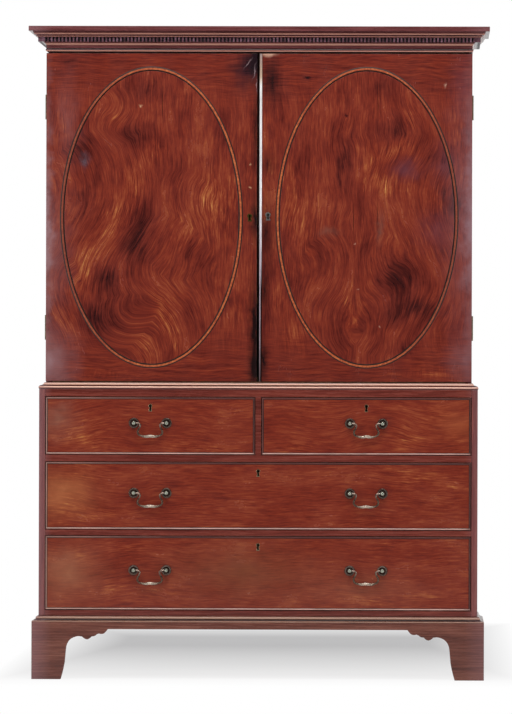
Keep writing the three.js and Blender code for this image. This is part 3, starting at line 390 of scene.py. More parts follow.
def figured_mahogany(name, face_y, grain, leans=(), flames=(), clouds=(), tints=(), marks=(),
                     cracks=(), streaks=0.5, hairs=0.62, swing=1.0, base=0.44, oval=None):
    """Veneer whose hairs run along the grain's axis. A lean shifts the place across the grain by its
    slope times the distance from its middle, fading outwards. Noise stretched along the hairs at
    three sizes, raised by the flames, which the streaks and hairs break up, and lowered by the
    clouds, picks the tone. Outside the oval, near the door's ends, the hairs run level, as on a
    clamp. Broad tints, small marks (chips, stains of old wax, and the dark meeting edges of the doors,
    which are handling and painted shade beside the strip) and cracks are laid over it, each crack as
    its x, its foot and its head in mm."""
    material, tree, place = new_finish(name)
    bent = shaken(tree, place, WANDER_SIZE, WANDER * swing)
    x, z = [add(tree, "SeparateXYZ", {"Vector": bent}, out=axis) for axis in "XZ"]
    across, along = (x, z) if grain == "z" else (z, x)
    for at_x, at_z, wide, high, slope in leans:
        pull = patch_sum(tree, place, face_y, [(at_x, at_z, wide, high, 0, -slope)], "SPHERICAL")
        way = add(tree, "Math", {0: along, 1: (at_z if grain == "z" else at_x) * mm},
                  operation="SUBTRACT")
        across = add(tree, "Math", {0: pull, 1: way, 2: across}, operation="MULTIPLY_ADD")
    lines = add(tree, "CombineXYZ", {"X": across, "Z": along})
    blotch, streak, hair = [
        fibres(tree, lines, (width, 1, length), detail, 0.66)
        for (length, width), detail in ((BLOTCH, 5), (STREAK, 4), (HAIR, 3))]
    tone = add(tree, "MapRange", {"Value": blotch, "From Min": 0.25, "From Max": 0.75,
                                  "To Min": base - 0.2 * swing, "To Max": base + 0.2 * swing})
    for layer, share in ((streak, streaks), (hair, hairs)):
        change = add(tree, "Math", {0: layer, 1: 0.5}, operation="SUBTRACT")
        tone = add(tree, "Math", {0: change, 1: share, 2: tone}, operation="MULTIPLY_ADD")

    frayed = shaken(tree, place, FRAY_SIZE, FRAY, 5, 0.64)
    flame = patch_sum(tree, frayed, face_y, flames)
    fine = add(tree, "MapRange", {"Value": hair, "From Min": 0.36, "From Max": 0.64, "To Min": 0.3,
                                  "To Max": 1.8})
    broken = add(tree, "MapRange", {"Value": streak, "From Min": 0.34, "From Max": 0.66, "To Min": 0.3,
                                    "To Max": 2.1})
    broken = add(tree, "Math", {0: broken, 1: fine}, operation="MULTIPLY")
    flame = add(tree, "Math", {0: flame, 1: broken}, operation="MULTIPLY")
    drifted = shaken(tree, place, CLOUD_FRAY_SIZE, CLOUD_FRAY, 5, 0.62)
    cloud = patch_sum(tree, drifted, face_y, clouds)
    veined = add(tree, "MapRange", {"Value": streak, "From Min": 0.34, "From Max": 0.66, "To Min": -1.6,
                                    "To Max": -0.7})
    flame = add(tree, "Math", {0: cloud, 1: veined, 2: flame}, operation="MULTIPLY_ADD")
    tone = add(tree, "Math", {0: tone, 1: flame}, operation="ADD")

    if oval:
        middle, half_width, half_height = oval
        outside = add(tree, "Mapping", {"Vector": place, "Location": (middle[0], face_y, middle[1]),
                                        "Scale": (half_width, PATCH_DEPTH, half_height)},
                      vector_type="TEXTURE")
        outside = add(tree, "VectorMath", {0: outside}, out="Value", operation="LENGTH")
        outside = add(tree, "Math", {0: outside, 1: 1}, operation="GREATER_THAN")
        rise = add(tree, "SeparateXYZ", {"Vector": place}, out="Z")
        rise = add(tree, "Math", {0: rise, 1: middle[1]}, operation="SUBTRACT")
        rise = add(tree, "Math", {0: rise}, operation="ABSOLUTE")
        clamp = add(tree, "MapRange", {"Value": rise, "From Min": CLAMP_START, "From Max": CLAMP_END})
        clamp = add(tree, "Math", {0: clamp, 1: outside}, operation="MULTIPLY")
        level = fibres(tree, bent, (STREAK[0], 1, STREAK[1]), 5, 0.65)
        level = add(tree, "MapRange", {"Value": level, "From Min": 0.25, "From Max": 0.75,
                                       "To Min": base - 0.16, "To Max": base + 0.1})
        thread = fibres(tree, bent, (HAIR[0], 1, HAIR[1]), 3, 0.66)
        thread = add(tree, "Math", {0: thread, 1: 0.5}, operation="SUBTRACT")
        level = add(tree, "Math", {0: thread, 1: hairs, 2: level}, operation="MULTIPLY_ADD")
        level = add(tree, "Math", {0: level, 1: flame}, operation="ADD")
        tone = add(tree, "Mix", {0: clamp, 2: tone, 3: level})

    colour = add(tree, "ValToRGB", {"Fac": tone}, stops=FIGURE_TONES)
    crumbled = shaken(tree, place, STAIN_FRAY_SIZE, STAIN_FRAY, 4, 0.6)
    wavering = shaken(tree, place, CRACK_WANDER_SIZE, CRACK_WANDER)
    splits = [(x, (foot + head) / 2, CRACK_HALF, (head - foot) / 2, 0, CRACK_SHARE)
              for x, foot, head in cracks]
    for edge, layers in ((frayed, tints), (crumbled, marks), (wavering, [("#1a0a08", splits)])):
        for tint, patches in layers:
            share = patch_sum(tree, edge, face_y, patches)
            colour = add(tree, "Mix", {0: share, 6: colour, 7: linear(tint)}, **MIXED)
    rough = add(tree, "MapRange", {"Value": blotch, "From Min": 0.3, "From Max": 0.7, "To Min": 0.16,
                                   "To Max": 0.3})
    surface(tree, colour, rough, relief=hair, strength=0.12, depth=GRAIN_DEPTH)
    return material


DRAWER_VENEERS = {
    "short_left": dict(
        leans=((-500, 760, 180, 120, 0.35), (-190, 740, 200, 120, -0.2)),
        flames=(
            (-520, 700, 162, 50, 18, 0.1), (-170, 672, 162, 25, 8, 0.11),
            (-470, 740, 162, 56, 14, 0.05)),
        clouds=((-590, 760, 56, 98, 0, 0.07),),
        tints=(("#8f604f", ((-590, 750, 110, 90, 0, 0.6), (-560, 790, 40, 30, 0, 0.3))),)),
    "short_right": dict(
        leans=((440, 740, 200, 120, -0.35), (130, 740, 150, 120, -0.15)),
        flames=(
            (440, 700, 112, 56, -25, 0.1), (120, 672, 112, 22, -10, 0.08),
            (520, 770, 100, 48, -10, 0.07), (570, 710, 62, 84, -30, 0.07), (440, 790, 75, 20, 0, 0.06)),
        tints=(("#9a4f2e", ((590, 745, 120, 90, 0, 0.6),)),)),
    "middle": dict(
        leans=((-500, 540, 200, 150, -0.25), (420, 560, 260, 150, -0.12)),
        flames=(
            (-530, 590, 125, 70, -15, 0.08), (-560, 500, 112, 63, -12, 0.12),
            (-440, 480, 125, 34, -10, 0.08), (480, 590, 162, 36, -4, 0.11),
            (400, 610, 162, 20, -3, 0.08), (560, 560, 75, 22, -3, 0.12), (520, 520, 75, 34, -3, 0.06)),
        clouds=((-250, 575, 112, 34, 4, 0.07), (-110, 535, 50, 17, 10, 0.11)),
        tints=(("#a8643e", ((-570, 540, 170, 120, 0, 0.8),)),)),
    "bottom": dict(
        leans=((-450, 330, 240, 150, 0.2), (300, 320, 260, 150, -0.1)),
        flames=(
            (-520, 360, 88, 56, 30, 0.07), (-360, 380, 112, 34, 10, 0.07),
            (-430, 260, 150, 34, 5, 0.07), (380, 395, 75, 22, 10, 0.08), (330, 225, 162, 25, 3, 0.1),
            (500, 240, 100, 25, -5, 0.07), (-560, 300, 75, 56, 0, 0.05)),
        tints=(
            ("#9a6248", ((-560, 310, 190, 150, 0, 0.8), (300, 260, 320, 90, 0, 0.3))),
            ("#75462e", ((-40, 310, 420, 150, 0, 0.6),)))),
}
for name, veneer in DRAWER_VENEERS.items():
    finish = figured_mahogany(f"figured_mahogany_{name}_drawer", base_face, "x", streaks=0.38,
                              hairs=0.6, swing=0.6, base=0.49, **veneer)
    eased(f"drawer_front_{name}", f"{name}_drawer", finish, arris=0.35 * mm)


# Cockbeads: half-round strips let in round each drawer front and mitred at its corners.
# Straight mahogany, scraped and polished. Painted highlights make the bead pale lilac-brown along the
# bottom of each front and towards the press's left end, and painted shade darkens its right-hand side,
# its flanks and its outer foot; the lip along the field is near-black.
COCKBEAD, BEAD_RISE, LIP_WIDTH, LIP_RISE = 4.8, 2.9, 1.0, 0.08
BEAD_OVERLAP, BEAD_ROOT, BEAD_PATCH = 0.05, -1.5, 60 * mm
cockbead_mahogany, tree, place = new_finish("cockbead_mahogany_painted_light_and_shade")
# Painted light by side of the frame: a pale highlight along the bottom, darker shade on the right.
wood = add(tree, "ValToRGB", {"Fac": counted(tree, "Y")}, stops=(
    (0.0, "#c8a094"), (0.249, "#c8a094"), (0.251, "#4e221c"), (0.499, "#4e221c"), (0.501, "#5e2e27"),
    (0.749, "#5e2e27"), (0.751, "#5c3029"), (1.0, "#5c3029")))
# Painted highlight towards the left end of the press.
left = add(tree, "SeparateXYZ", {"Vector": place}, out="X")
left = add(tree, "MapRange", {"Value": left, "From Min": -0.95 * base_half,
                              "From Max": -0.4 * base_half, "To Min": 0.6, "To Max": 0})
wood = add(tree, "Mix", {0: left, 6: wood, 7: linear("#b39082")}, **MIXED)
# Across the section: painted shade on the flanks and the outer foot, and a near-black lip.
section = add(tree, "ValToRGB", {"Fac": counted(tree, "X")}, stops=(
    (0.0, "#30120e"), (0.1, "#30120e"), (0.25, "#b0a0a0"), (0.42, "#ffffff"), (0.62, "#ffffff"),
    (0.74, "#70564f"), (0.8, "#1d0c09"), (1.0, "#1d0c09")))
colour = add(tree, "Mix", {0: 1, 6: wood, 7: section}, **MULTIPLIED)
patchy = add(tree, "TexNoise", {"Vector": place, "Scale": 1 / BEAD_PATCH, "Detail": 4})
patchy = add(tree, "MapRange", {"Value": patchy, "From Min": 0.35, "From Max": 0.65, "To Min": 0.75,
                                "To Max": 1.1})
colour = add(tree, "Mix", {0: 1, 6: colour, 7: patchy}, **MULTIPLIED)
surface(tree, colour, rough=0.42)


def bead_frame(low, high, face_y):
    """A half circle's section, as wide as the bead, with a flat lip on its inner side, carried round
    a rectangle. Its columns go from the outer foot over the crown to the lip and back underneath."""
    turn = np.linspace(0, pi, 13)
    inset = COCKBEAD / 2 * (1 - np.cos(turn))
    rise = BEAD_RISE * np.sin(turn)
    lip_end = COCKBEAD + LIP_WIDTH
    inset = np.concatenate([[-BEAD_OVERLAP, -BEAD_OVERLAP], inset[1:-1],
                            [COCKBEAD, lip_end, lip_end, -BEAD_OVERLAP]]) * mm
    rise = np.concatenate([[BEAD_ROOT, 0], rise[1:-1],
                           [LIP_RISE, LIP_RISE * 0.75, BEAD_ROOT, BEAD_ROOT]]) * mm
    right = np.array([0, 1, 1, 0, 0])[:, None]
    top = np.array([0, 0, 1, 1, 0])[:, None]
    x = low.x + right * (high.x - low.x) + (1 - 2 * right) * inset
    z = low.z + top * (high.z - low.z) + (1 - 2 * top) * inset
    return np.stack([x, face_y - rise + 0 * x, z], -1)


for name in DRAWER_VENEERS:
    skin(f"cockbead_{name}", bead_frame(*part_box(f"drawer_front_{name}"), base_face), cockbead_mahogany,
         f"{name}_drawer")


# Drawer boxes: thin boards dovetailed together behind the fronts.
# Oak, quarter sawn, planed and waxed thin: pale brown with short ray flecks across the grain.
OAK_GRAIN, OAK_FLECK, OAK_DEPTH = (260 * mm, 5 * mm), (22 * mm, 3 * mm), 0.4 * mm
oak, tree, place = new_finish("oak_planed_and_waxed")
grain, fleck = [fibres(tree, place, (width, length, width), 3, 0.5)
                for length, width in (OAK_GRAIN, OAK_FLECK)]
colour = add(tree, "ValToRGB", {"Fac": grain},
             stops=((0.34, "#6a4a2a"), (0.52, "#8b6740"), (0.66, "#a07c50")))
light = add(tree, "MapRange", {"Value": fleck, "From Min": 0.6, "From Max": 0.7, "To Max": 0.35})
colour = add(tree, "Mix", {0: light, 6: colour, 7: linear("#b8955f")}, **MIXED)
surface(tree, colour, rough=0.62, relief=grain, strength=0.3, depth=OAK_DEPTH)
for name in DRAWER_VENEERS:
    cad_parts[f"drawer_box_{name}"].material_slots[0].material = oak


# Handles: swan-neck bails of cast brass between turned posts, each post with a dished rosette, a knob
# that the bail's pin turns in, and a threaded shank with a nut behind the drawer front.
def turned(profile, centre, sides=40):
    """Points of a turned piece about a front-to-back axis: a profile of (radius, distance in front)
    carried round a circle."""
    angle = np.linspace(0, 2 * pi, sides + 1)
    radius, ahead = profile.T[:, :, None]
    x = centre[0] + radius * np.cos(angle)
    z = centre[2] + radius * np.sin(angle)
    return np.stack([x, np.broadcast_to(centre[1] - ahead, x.shape), z], -1)


# Cast brass, once lacquered and now brown. On the posts the tone along the rows paints highlights on
# the knobs and rims, and painted shade, over old polish, in the necks and dishes; on the bails it
# paints highlights at the pin ends and the grip's middle.
BRASS_BLOTCH, BRASS_DEPTH = 7 * mm, 0.3 * mm


def brass_patina_and_painted_light(name, stops):
    """The tone follows the UV map's rows, from the first row at 0 to the last at 1, with blotches a
    few millimetres wide."""
    material, tree, place = new_finish(name)
    blotch = add(tree, "TexNoise", {"Vector": place, "Scale": 1 / BRASS_BLOTCH, "Detail": 3})
    colour = add(tree, "ValToRGB", {"Fac": counted(tree, "Y")}, stops=stops)
    shade = add(tree, "MapRange", {"Value": blotch, "From Min": 0.3, "From Max": 0.7, "To Min": 0.62,
                                   "To Max": 1.25})
    colour = add(tree, "Mix", {0: 1, 6: colour, 7: shade}, **MULTIPLIED)
    rough = add(tree, "MapRange", {"Value": blotch, "To Min": 0.4, "To Max": 0.16})
    surface(tree, colour, rough, relief=blotch, strength=0.2, depth=BRASS_DEPTH, Metallic=0.9)
    return material


# Along the post: painted highlights on the knob and the rim, a dark neck and dish of painted shade over
# old polish.
post_brass = brass_patina_and_painted_light("post_brass_with_painted_light", (
    (0.0, "#a5a89a"), (0.16, "#6d6f62"), (0.3, "#1e1a16"), (0.55, "#15110e"), (0.64, "#3a302a"),
    (0.7, "#c2a598"), (0.78, "#94796c"), (0.86, "#3a2f28"), (1.0, "#2c241c")))
# Along the bail: painted highlights at the pin ends and the grip's middle.
bail_brass = brass_patina_and_painted_light("bail_brass_with_painted_highlights", (
    (0.0, "#dcc9bc"), (0.08, "#a48c7e"), (0.2, "#5a483c"), (0.36, "#6f5c4e"), (0.5, "#d2c2b0"),
    (0.64, "#6f5c4e"), (0.8, "#5a483c"), (0.92, "#a48c7e"), (1.0, "#dcc9bc")))

HANDLE_DRAWERS = {"short_left": "short_left_drawer", "short_right": "short_right_drawer",
                  "middle_left": "middle_drawer", "middle_right": "middle_drawer",
                  "bottom_left": "bottom_drawer", "bottom_right": "bottom_drawer"}
POST_REACH, KNOB, NECK, ROSETTE, SHANK = 16.5 * mm, 7.2 * mm, 3.6 * mm, 15 * mm, 2.4 * mm
SEAT, PLATE, SHANK_END = 0.3 * mm, 2.6 * mm, 24 * mm
NUT, NUT_FRONT, NUT_BACK = 5.5 * mm, -20.4 * mm, -23 * mm
BAIL_DROP, BAIL_RADIUS = 39 * mm, 4.5 * mm


def post_profile():
    """From the knob's pole in front: a ball, a hollow neck, the dished rosette with a rolled rim, its
    flat back, and the shank through the drawer front. The neck, dish and rim are given as shares of
    the rosette's radius and of the plate's thickness."""
    turn = np.linspace(0, 0.84 * pi, 16)
    ball = np.stack([KNOB * np.sin(turn), POST_REACH + KNOB * np.cos(turn)], -1)
    way = np.linspace(0, 1, 9)[1:]
    dish_foot = SEAT + PLATE * 0.55
    neck = np.stack([NECK + (ROSETTE * 0.34 - NECK) * way ** 4,
                     ball[-1, 1] + (dish_foot - ball[-1, 1]) * way], -1)
    dish = np.stack([ROSETTE * (0.34 + 0.46 * way), dish_foot + PLATE * 0.1 * way ** 2], -1)
    turn = np.linspace(pi, -pi / 2 * 0.6, 9)
    rim = np.stack([ROSETTE * (0.9 + 0.1 * np.cos(turn)),
                    SEAT + PLATE * (0.62 + 0.38 * np.sin(turn))], -1)
    behind = np.array([[ROSETTE * 0.97, SEAT], [SHANK, SEAT], [SHANK, -SHANK_END], [0, -SHANK_END]])
    return np.concatenate([ball, neck, dish, rim, behind])


def bail_grid(centre_x, pivot_y, pivot_z, half_span, steps=110, sides=20):
    """A round bar swept along the swan-neck route, which runs through marks given as shares of half
    the post spacing, of the drop and of the bar's radius, with its ends drawn in to points."""
    marks = np.array([
        [0.9, 0, 0.45], [0.8, 0, 0.45], [0.69, -0.02, 0.5], [0.612, -0.11, 0.58], [0.615, -0.25, 0.6],
        [0.68, -0.42, 0.62], [0.742, -0.58, 0.64], [0.75, -0.74, 0.64], [0.672, -0.885, 0.64],
        [0.52, -0.965, 0.64], [0.33, -1.01, 0.8], [0.15, -0.995, 0.98], [0, -0.97, 1]])
    marks = np.concatenate([marks, marks[-2::-1] * (-1, 1, 1)])
    route = smooth_line(marks * (half_span, BAIL_DROP, BAIL_RADIUS), steps)
    run = np.gradient(route[:, :2], axis=0)
    run /= np.linalg.norm(run, axis=1, keepdims=True)
    radius = np.concatenate([[0], route[:, 2], [0]])
    route = np.concatenate([route[:1], route, route[-1:]])
    run = np.concatenate([run[:1], run, run[-1:]])
    angle = np.linspace(0, 2 * pi, sides + 1)
    aside = radius[:, None] * np.cos(angle)
    return np.stack([centre_x + route[:, :1] - run[:, 1:] * aside,
                     pivot_y + radius[:, None] * np.sin(angle),
                     pivot_z + route[:, 1:2] + run[:, :1] * aside], -1)


for name, drawer in HANDLE_DRAWERS.items():
    centres = {}
    for side in "ab":
        low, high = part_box(f"post_{name}_{side}")
        centres[side] = (low + high) / 2
        centre = (centres[side].x, base_face, centres[side].z)
        skin(f"turned_post_{name}_{side}", turned(post_profile(), centre), post_brass, drawer,
             [f"post_{name}_{side}"])
        nut = np.array([[SHANK, NUT_FRONT], [NUT, NUT_FRONT], [NUT, NUT_BACK], [SHANK, NUT_BACK],
                        [SHANK, NUT_FRONT]])
        skin(f"shank_nut_{name}_{side}", turned(nut, centre, 6), post_brass, drawer)
    half_span = (centres["b"].x - centres["a"].x) / 2
    middle = (centres["a"].x + centres["b"].x) / 2
    skin(f"swan_neck_bail_{name}", bail_grid(middle, base_face - POST_REACH, centres["a"].z, half_span),
         bail_brass, f"{name}_bail", [f"bail_{name}"])


# Cupboard carcass: mahogany sides, and a pine bottom, top and boarded back. Three oak trays slide in
# grooves in the sides.
for node in ("press_side_left", "press_side_right"):
    eased(node, "root", upright_mahogany, arris=0.8 * mm)
for node in ("press_bottom", "press_top", "press_back"):
    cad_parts[node].material_slots[0].material = pine
for level in ("lower", "middle", "upper"):
    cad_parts[f"tray_{level}"].material_slots[0].material = oak


# Doors: clamped boards faced with crotch mahogany, the figure of each running up from its foot. Age
# has split both in fine lines and chipped the right one's top corner; the meeting edges are dark, from
# handling and from painted shade beside the strip.
door_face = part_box("door_left")[0].y
OVAL_HALF = (266 * mm, 438.5 * mm)
oval_z = (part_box("door_left")[0].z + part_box("door_left")[1].z) / 2
oval_x = {side: sum(corner.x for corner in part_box(f"oval_inlay_{side}")) / 2
          for side in ("left", "right")}
DOOR_VENEERS = {
    "left": dict(
        leans=(
            (-455, 1270, 200, 330, 0.75), (-290, 1090, 190, 260, -1.1), (-230, 1320, 120, 160, -0.6),
            (-413, 1637, 80, 80, 1.0), (-380, 970, 150, 150, -0.9), (-584, 1050, 80, 200, -0.7)),
        flames=(
            (-416, 1639, 45, 55, 30, 0.1), (-310, 1537, 56, 69, 0, 0.1),
            (-364, 1450, 52, 103, 20, 0.12), (-415, 1340, 72, 126, 28, 0.15),
            (-511, 1190, 94, 138, 30, 0.15), (-272, 1060, 52, 161, -14, 0.17),
            (-330, 970, 56, 103, -24, 0.11), (-236, 980, 25, 92, 0, 0.12),
            (-150, 1420, 56, 195, 0, 0.11), (-110, 1370, 67, 207, 0, 0.11),
            (-76, 1433, 25, 103, 0, 0.1), (-215, 1330, 67, 138, -20, 0.08),
            (-574, 1596, 34, 115, 0, 0.09), (-570, 1040, 56, 150, -25, 0.11),
            (-420, 884, 246, 30, 0, 0.08), (-60, 1060, 34, 138, 0, 0.06)),
        clouds=(
            (-345, 1308, 69, 150, 12, 0.26), (-378, 1250, 101, 71, 45, 0.17),
            (-430, 1165, 123, 80, 40, 0.26), (-470, 1050, 123, 103, 10, 0.22),
            (-370, 1592, 123, 80, 0, 0.17), (-326, 1715, 112, 80, 0, 0.12),
            (-30, 1790, 84, 86, 0, 0.21), (-525, 1390, 67, 126, 10, 0.15),
            (-520, 1530, 67, 126, 10, 0.14), (-88, 1076, 25, 53, 0, 0.14),
            (-560, 1790, 78, 57, 0, 0.1)),
        tints=(
            ("#8c686b", ((-622, 1340, 34, 800, 0, 0.8), (-620, 1250, 120, 330, 0, 0.5),
                         (-610, 920, 130, 160, 0, 0.9), (-560, 1620, 60, 240, 0, 0.25))),
            ("#5c5a66", ((-508, 1510, 24, 40, 0, 0.5),)),
            ("#2c161e", ((-40, 1770, 70, 110, 10, 0.8),))),
        marks=(
            # Dark strips along the meeting edge: handling and painted shade beside the strip.
            ("#1a0809", ((-12, 1030, 30, 300, 0, 1.3), (-13, 900, 34, 110, 0, 0.9),
                         (-12, 1340, 26, 130, 0, 1.2), (-10, 1600, 18, 260, 0, 0.9))),
            ("#1c0a12", ((-12, 1800, 50, 100, 12, 1.7),)),
            ("#a58e92", ((-16, 1768, 3, 34, 12, 0.8), (-34, 1792, 2.5, 30, 35, 0.7),
                         (-6, 1730, 2.5, 40, 0, 0.7))),
            ("#b98d6a", ((-345, 1668, 8, 5, 20, 1.2), (-23, 1500, 5, 6, 0, 1.0),
                         (-25, 1432, 5, 7, 0, 1.0)))),
        cracks=((-281, 1580, 1760),)),
    "right": dict(
        leans=(
            (440, 1290, 160, 300, -0.5), (330, 1470, 120, 120, 0.3), (440, 1640, 120, 160, -0.5),
            (240, 1480, 60, 160, -0.3), (470, 1080, 150, 150, 0.5), (110, 1350, 110, 400, 0.12),
            (560, 1250, 80, 260, -0.25), (215, 1120, 110, 180, 0.7), (350, 1120, 110, 180, -0.7)),
        flames=(
            (363, 1440, 67, 57, -8, 0.2), (330, 1520, 67, 69, 0, 0.12), (400, 1540, 78, 57, 0, 0.12),
            (312, 1460, 18, 80, 10, 0.11), (512, 1385, 29, 69, 0, 0.15), (428, 1435, 45, 30, 0, 0.11),
            (90, 1410, 45, 195, 0, 0.1), (130, 1330, 67, 253, 4, 0.06), (286, 1040, 27, 115, 8, 0.15),
            (262, 1096, 20, 87, 0, 0.09), (444, 1258, 13, 103, -14, 0.11), (575, 1595, 29, 76, 0, 0.12),
            (604, 1301, 45, 16, 0, 0.12), (110, 1000, 56, 92, 0, 0.08), (500, 890, 224, 30, 0, 0.09),
            (26, 1477, 13, 69, 0, 0.11), (441, 1628, 38, 57, -20, 0.09), (56, 1101, 27, 92, 0, 0.09)),
        clouds=(
            (404, 1160, 101, 103, 0, 0.29), (462, 1078, 123, 69, 8, 0.26), (392, 1060, 56, 57, 0, 0.17),
            (247, 1502, 40, 172, 0, 0.2), (405, 1592, 101, 76, 0, 0.17), (530, 1502, 78, 92, 0, 0.17),
            (572, 1400, 67, 103, 0, 0.17), (40, 1747, 63, 150, 0, 0.22), (353, 1728, 67, 69, 0, 0.1),
            (138, 1747, 12, 9, 0, 0.51), (253, 1645, 10, 8, 0, 0.51), (420, 960, 67, 46, 0, 0.14)),
        tints=(
            ("#5c3a48", ((428, 1483, 80, 50, 0, 0.45), (510, 1308, 90, 90, 0, 0.35),
                         (540, 1500, 80, 90, 0, 0.3), (590, 1720, 60, 140, 0, 0.4))),
            ("#86646a", ((622, 1340, 40, 800, 0, 0.75), (618, 1350, 130, 560, 0, 0.5),
                         (600, 930, 90, 130, 0, 0.4))),
            ("#6d5a4c", ((350, 1310, 24, 80, 0, 0.35), (200, 1300, 50, 30, 0, 0.3)))),
        marks=(
            # Dark strips along the meeting edge: handling and painted shade beside the strip.
            ("#1a0809", ((14, 930, 24, 130, 0, 1.1), (20, 1300, 44, 180, 0, 0.9),
                         (26, 1500, 40, 70, 0, 0.6), (30, 1740, 52, 120, 0, 0.7),
                         (16, 1130, 26, 130, 0, 0.9))),
            ("#b08470", ((26, 1821, 42, 16, -4, 2.2), (540, 1728, 7, 15, 20, 1.1),
                         (280, 1268, 6, 4, 0, 1.0), (356, 1768, 5, 4, 0, 1.0),
                         (352, 1028, 6, 4, 0, 1.0), (288, 1137, 6, 4, 0, 0.8)))),
        cracks=((276, 1262, 1420), (343, 1280, 1420), (345, 1600, 1760))),
}
for side, veneer in DOOR_VENEERS.items():
    finish = figured_mahogany(f"crotch_mahogany_{side}_door", door_face, "z",
                              oval=((oval_x[side], oval_z), *OVAL_HALF), **veneer)
    eased(f"door_{side}", f"{side}_door", finish, arris=0.6 * mm)


# Oval banding: a strip of light crossbanding between two dark strings, let into each door and
# levelled with its face.
# Satinwood and ebonised string, sawn as veneer and polished with the door: warm orange-brown with
# short grain across the strip, near-black lines at both edges, and maroon where the polish is thick.
BAND, BAND_DEPTH, BAND_RISE, GROOVE_PLAY = 11.6 * mm, 1.4 * mm, 0.12 * mm, 1.0 * mm
CROSS_GRAIN, STAIN_START, STAIN_END = 6 * mm, 350 * mm, 560 * mm
banding, tree, place = new_finish("satinwood_banding_with_strings")
grain = add(tree, "TexNoise", {"Vector": place, "Scale": 1 / CROSS_GRAIN, "Detail": 3})
light = add(tree, "ValToRGB", {"Fac": grain},
            stops=((0.32, "#88381f"), (0.5, "#a64e2a"), (0.7, "#c0703c")))
apart = add(tree, "SeparateXYZ", {"Vector": place}, out="X")
apart = add(tree, "Math", {0: apart}, operation="ABSOLUTE")
stained = add(tree, "MapRange", {"Value": apart, "From Min": STAIN_START, "From Max": STAIN_END,
                                 "To Max": 0.7})
light = add(tree, "Mix", {0: stained, 6: light, 7: linear("#6c3028")}, **MIXED)
strip = add(tree, "ValToRGB", {"Fac": counted(tree, "X")}, stops=(
    (0.0, "#2a0e0b"), (0.38, "#2a0e0b"), (0.40, "#ffffff"), (0.485, "#ffffff"), (0.505, "#2a0e0b"),
    (1.0, "#2a0e0b")))
colour = add(tree, "Mix", {0: 1, 6: light, 7: strip}, **MULTIPLIED)
surface(tree, colour, rough=0.34)


def oval_band(centre_x):
    """A rounded rectangle's section carried round an ellipse. Its columns go over the back, the inner
    edge, the face and the outer edge, and its rows go round the ellipse."""
    angle = np.linspace(0, 2 * pi, 361)[:, None]
    width = BAND + GROOVE_PLAY
    section = np.array([[0.02, 1], [0, 0.9], [0, 0.1], [0.03, 0], [0.5, -0.02], [0.97, 0], [1, 0.1],
                        [1, 0.9], [0.98, 1], [0.02, 1]])
    inward = GROOVE_PLAY / 2 - width * section[:, 0]
    x = centre_x + (OVAL_HALF[0] + inward) * np.cos(angle)
    z = oval_z + (OVAL_HALF[1] + inward) * np.sin(angle)
    y = door_face - BAND_RISE + (BAND_RISE + BAND_DEPTH) * section[:, 1]
    return np.stack([x, np.broadcast_to(y, x.shape), z], -1)


for side in ("left", "right"):
    skin(f"oval_banding_{side}", oval_band(oval_x[side]), banding, f"{side}_door",
         [f"oval_inlay_{side}"])


# Meeting strip: a half-round strip of drawn brass pinned down the right door's edge, brown at both
# ends. A pale lilac-white painted highlight runs over its upper half and narrows below it, and painted
# shade darkens its left flank.
SCUFF_LENGTH, SCUFF_WIDTH = 45 * mm, 3 * mm
low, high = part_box("meeting_bead")
painted_highlight_brass, tree, place = new_finish("strip_brass_with_painted_highlight")
height = add(tree, "SeparateXYZ", {"Vector": place}, out="Z")
height = add(tree, "MapRange", {"Value": height, "From Min": low.z, "From Max": high.z})
# Along the strip: brown at both ends, and the painted highlight's pale lilac-white over the upper half.
colour = add(tree, "ValToRGB", {"Fac": height}, stops=(
    (0.0, "#5c4446"), (0.12, "#a08c94"), (0.3, "#c0b0ba"), (0.45, "#d6ccd2"), (0.55, "#f2eef0"),
    (0.9, "#f6f2f0"), (0.93, "#c8aa90"), (1.0, "#9a8480")))
across = counted(tree, "X")
# Across the strip: painted shade on the left flank, and the painted highlight over the crown, narrower
# below.
highlight_band = add(tree, "ValToRGB", {"Fac": across}, stops=(
    (0.0, "#160b0c"), (0.35, "#1c0f10"), (0.46, "#ffffff"), (0.8, "#ffffff"), (0.9, "#6c5254")))
narrow_highlight = add(tree, "ValToRGB", {"Fac": across}, stops=(
    (0.0, "#160b0c"), (0.38, "#160b0c"), (0.44, "#ffffff"), (0.56, "#ffffff"), (0.62, "#160b0c")))
below_highlight = add(tree, "MapRange", {"Value": height, "From Min": 0.42, "From Max": 0.28})
highlight_band = add(tree, "Mix", {0: below_highlight, 6: highlight_band, 7: narrow_highlight}, **MULTIPLIED)
colour = add(tree, "Mix", {0: 1, 6: colour, 7: highlight_band}, **MULTIPLIED)
scuff = fibres(tree, place, (SCUFF_WIDTH, SCUFF_WIDTH, SCUFF_LENGTH), rough=0.5)
shade = add(tree, "MapRange", {"Value": scuff, "From Min": 0.3, "From Max": 0.6, "To Min": 0.7,
                               "To Max": 1})
colour = add(tree, "Mix", {0: 1, 6: colour, 7: shade}, **MULTIPLIED)
shine = add(tree, "MapRange", {"Value": highlight_band, "To Min": 0.03, "To Max": 0.5})
surface(tree, colour, rough=0.35, relief=scuff, strength=0.2, depth=GRAIN_DEPTH, Metallic=0.2,
        **{"Specular IOR Level": shine})


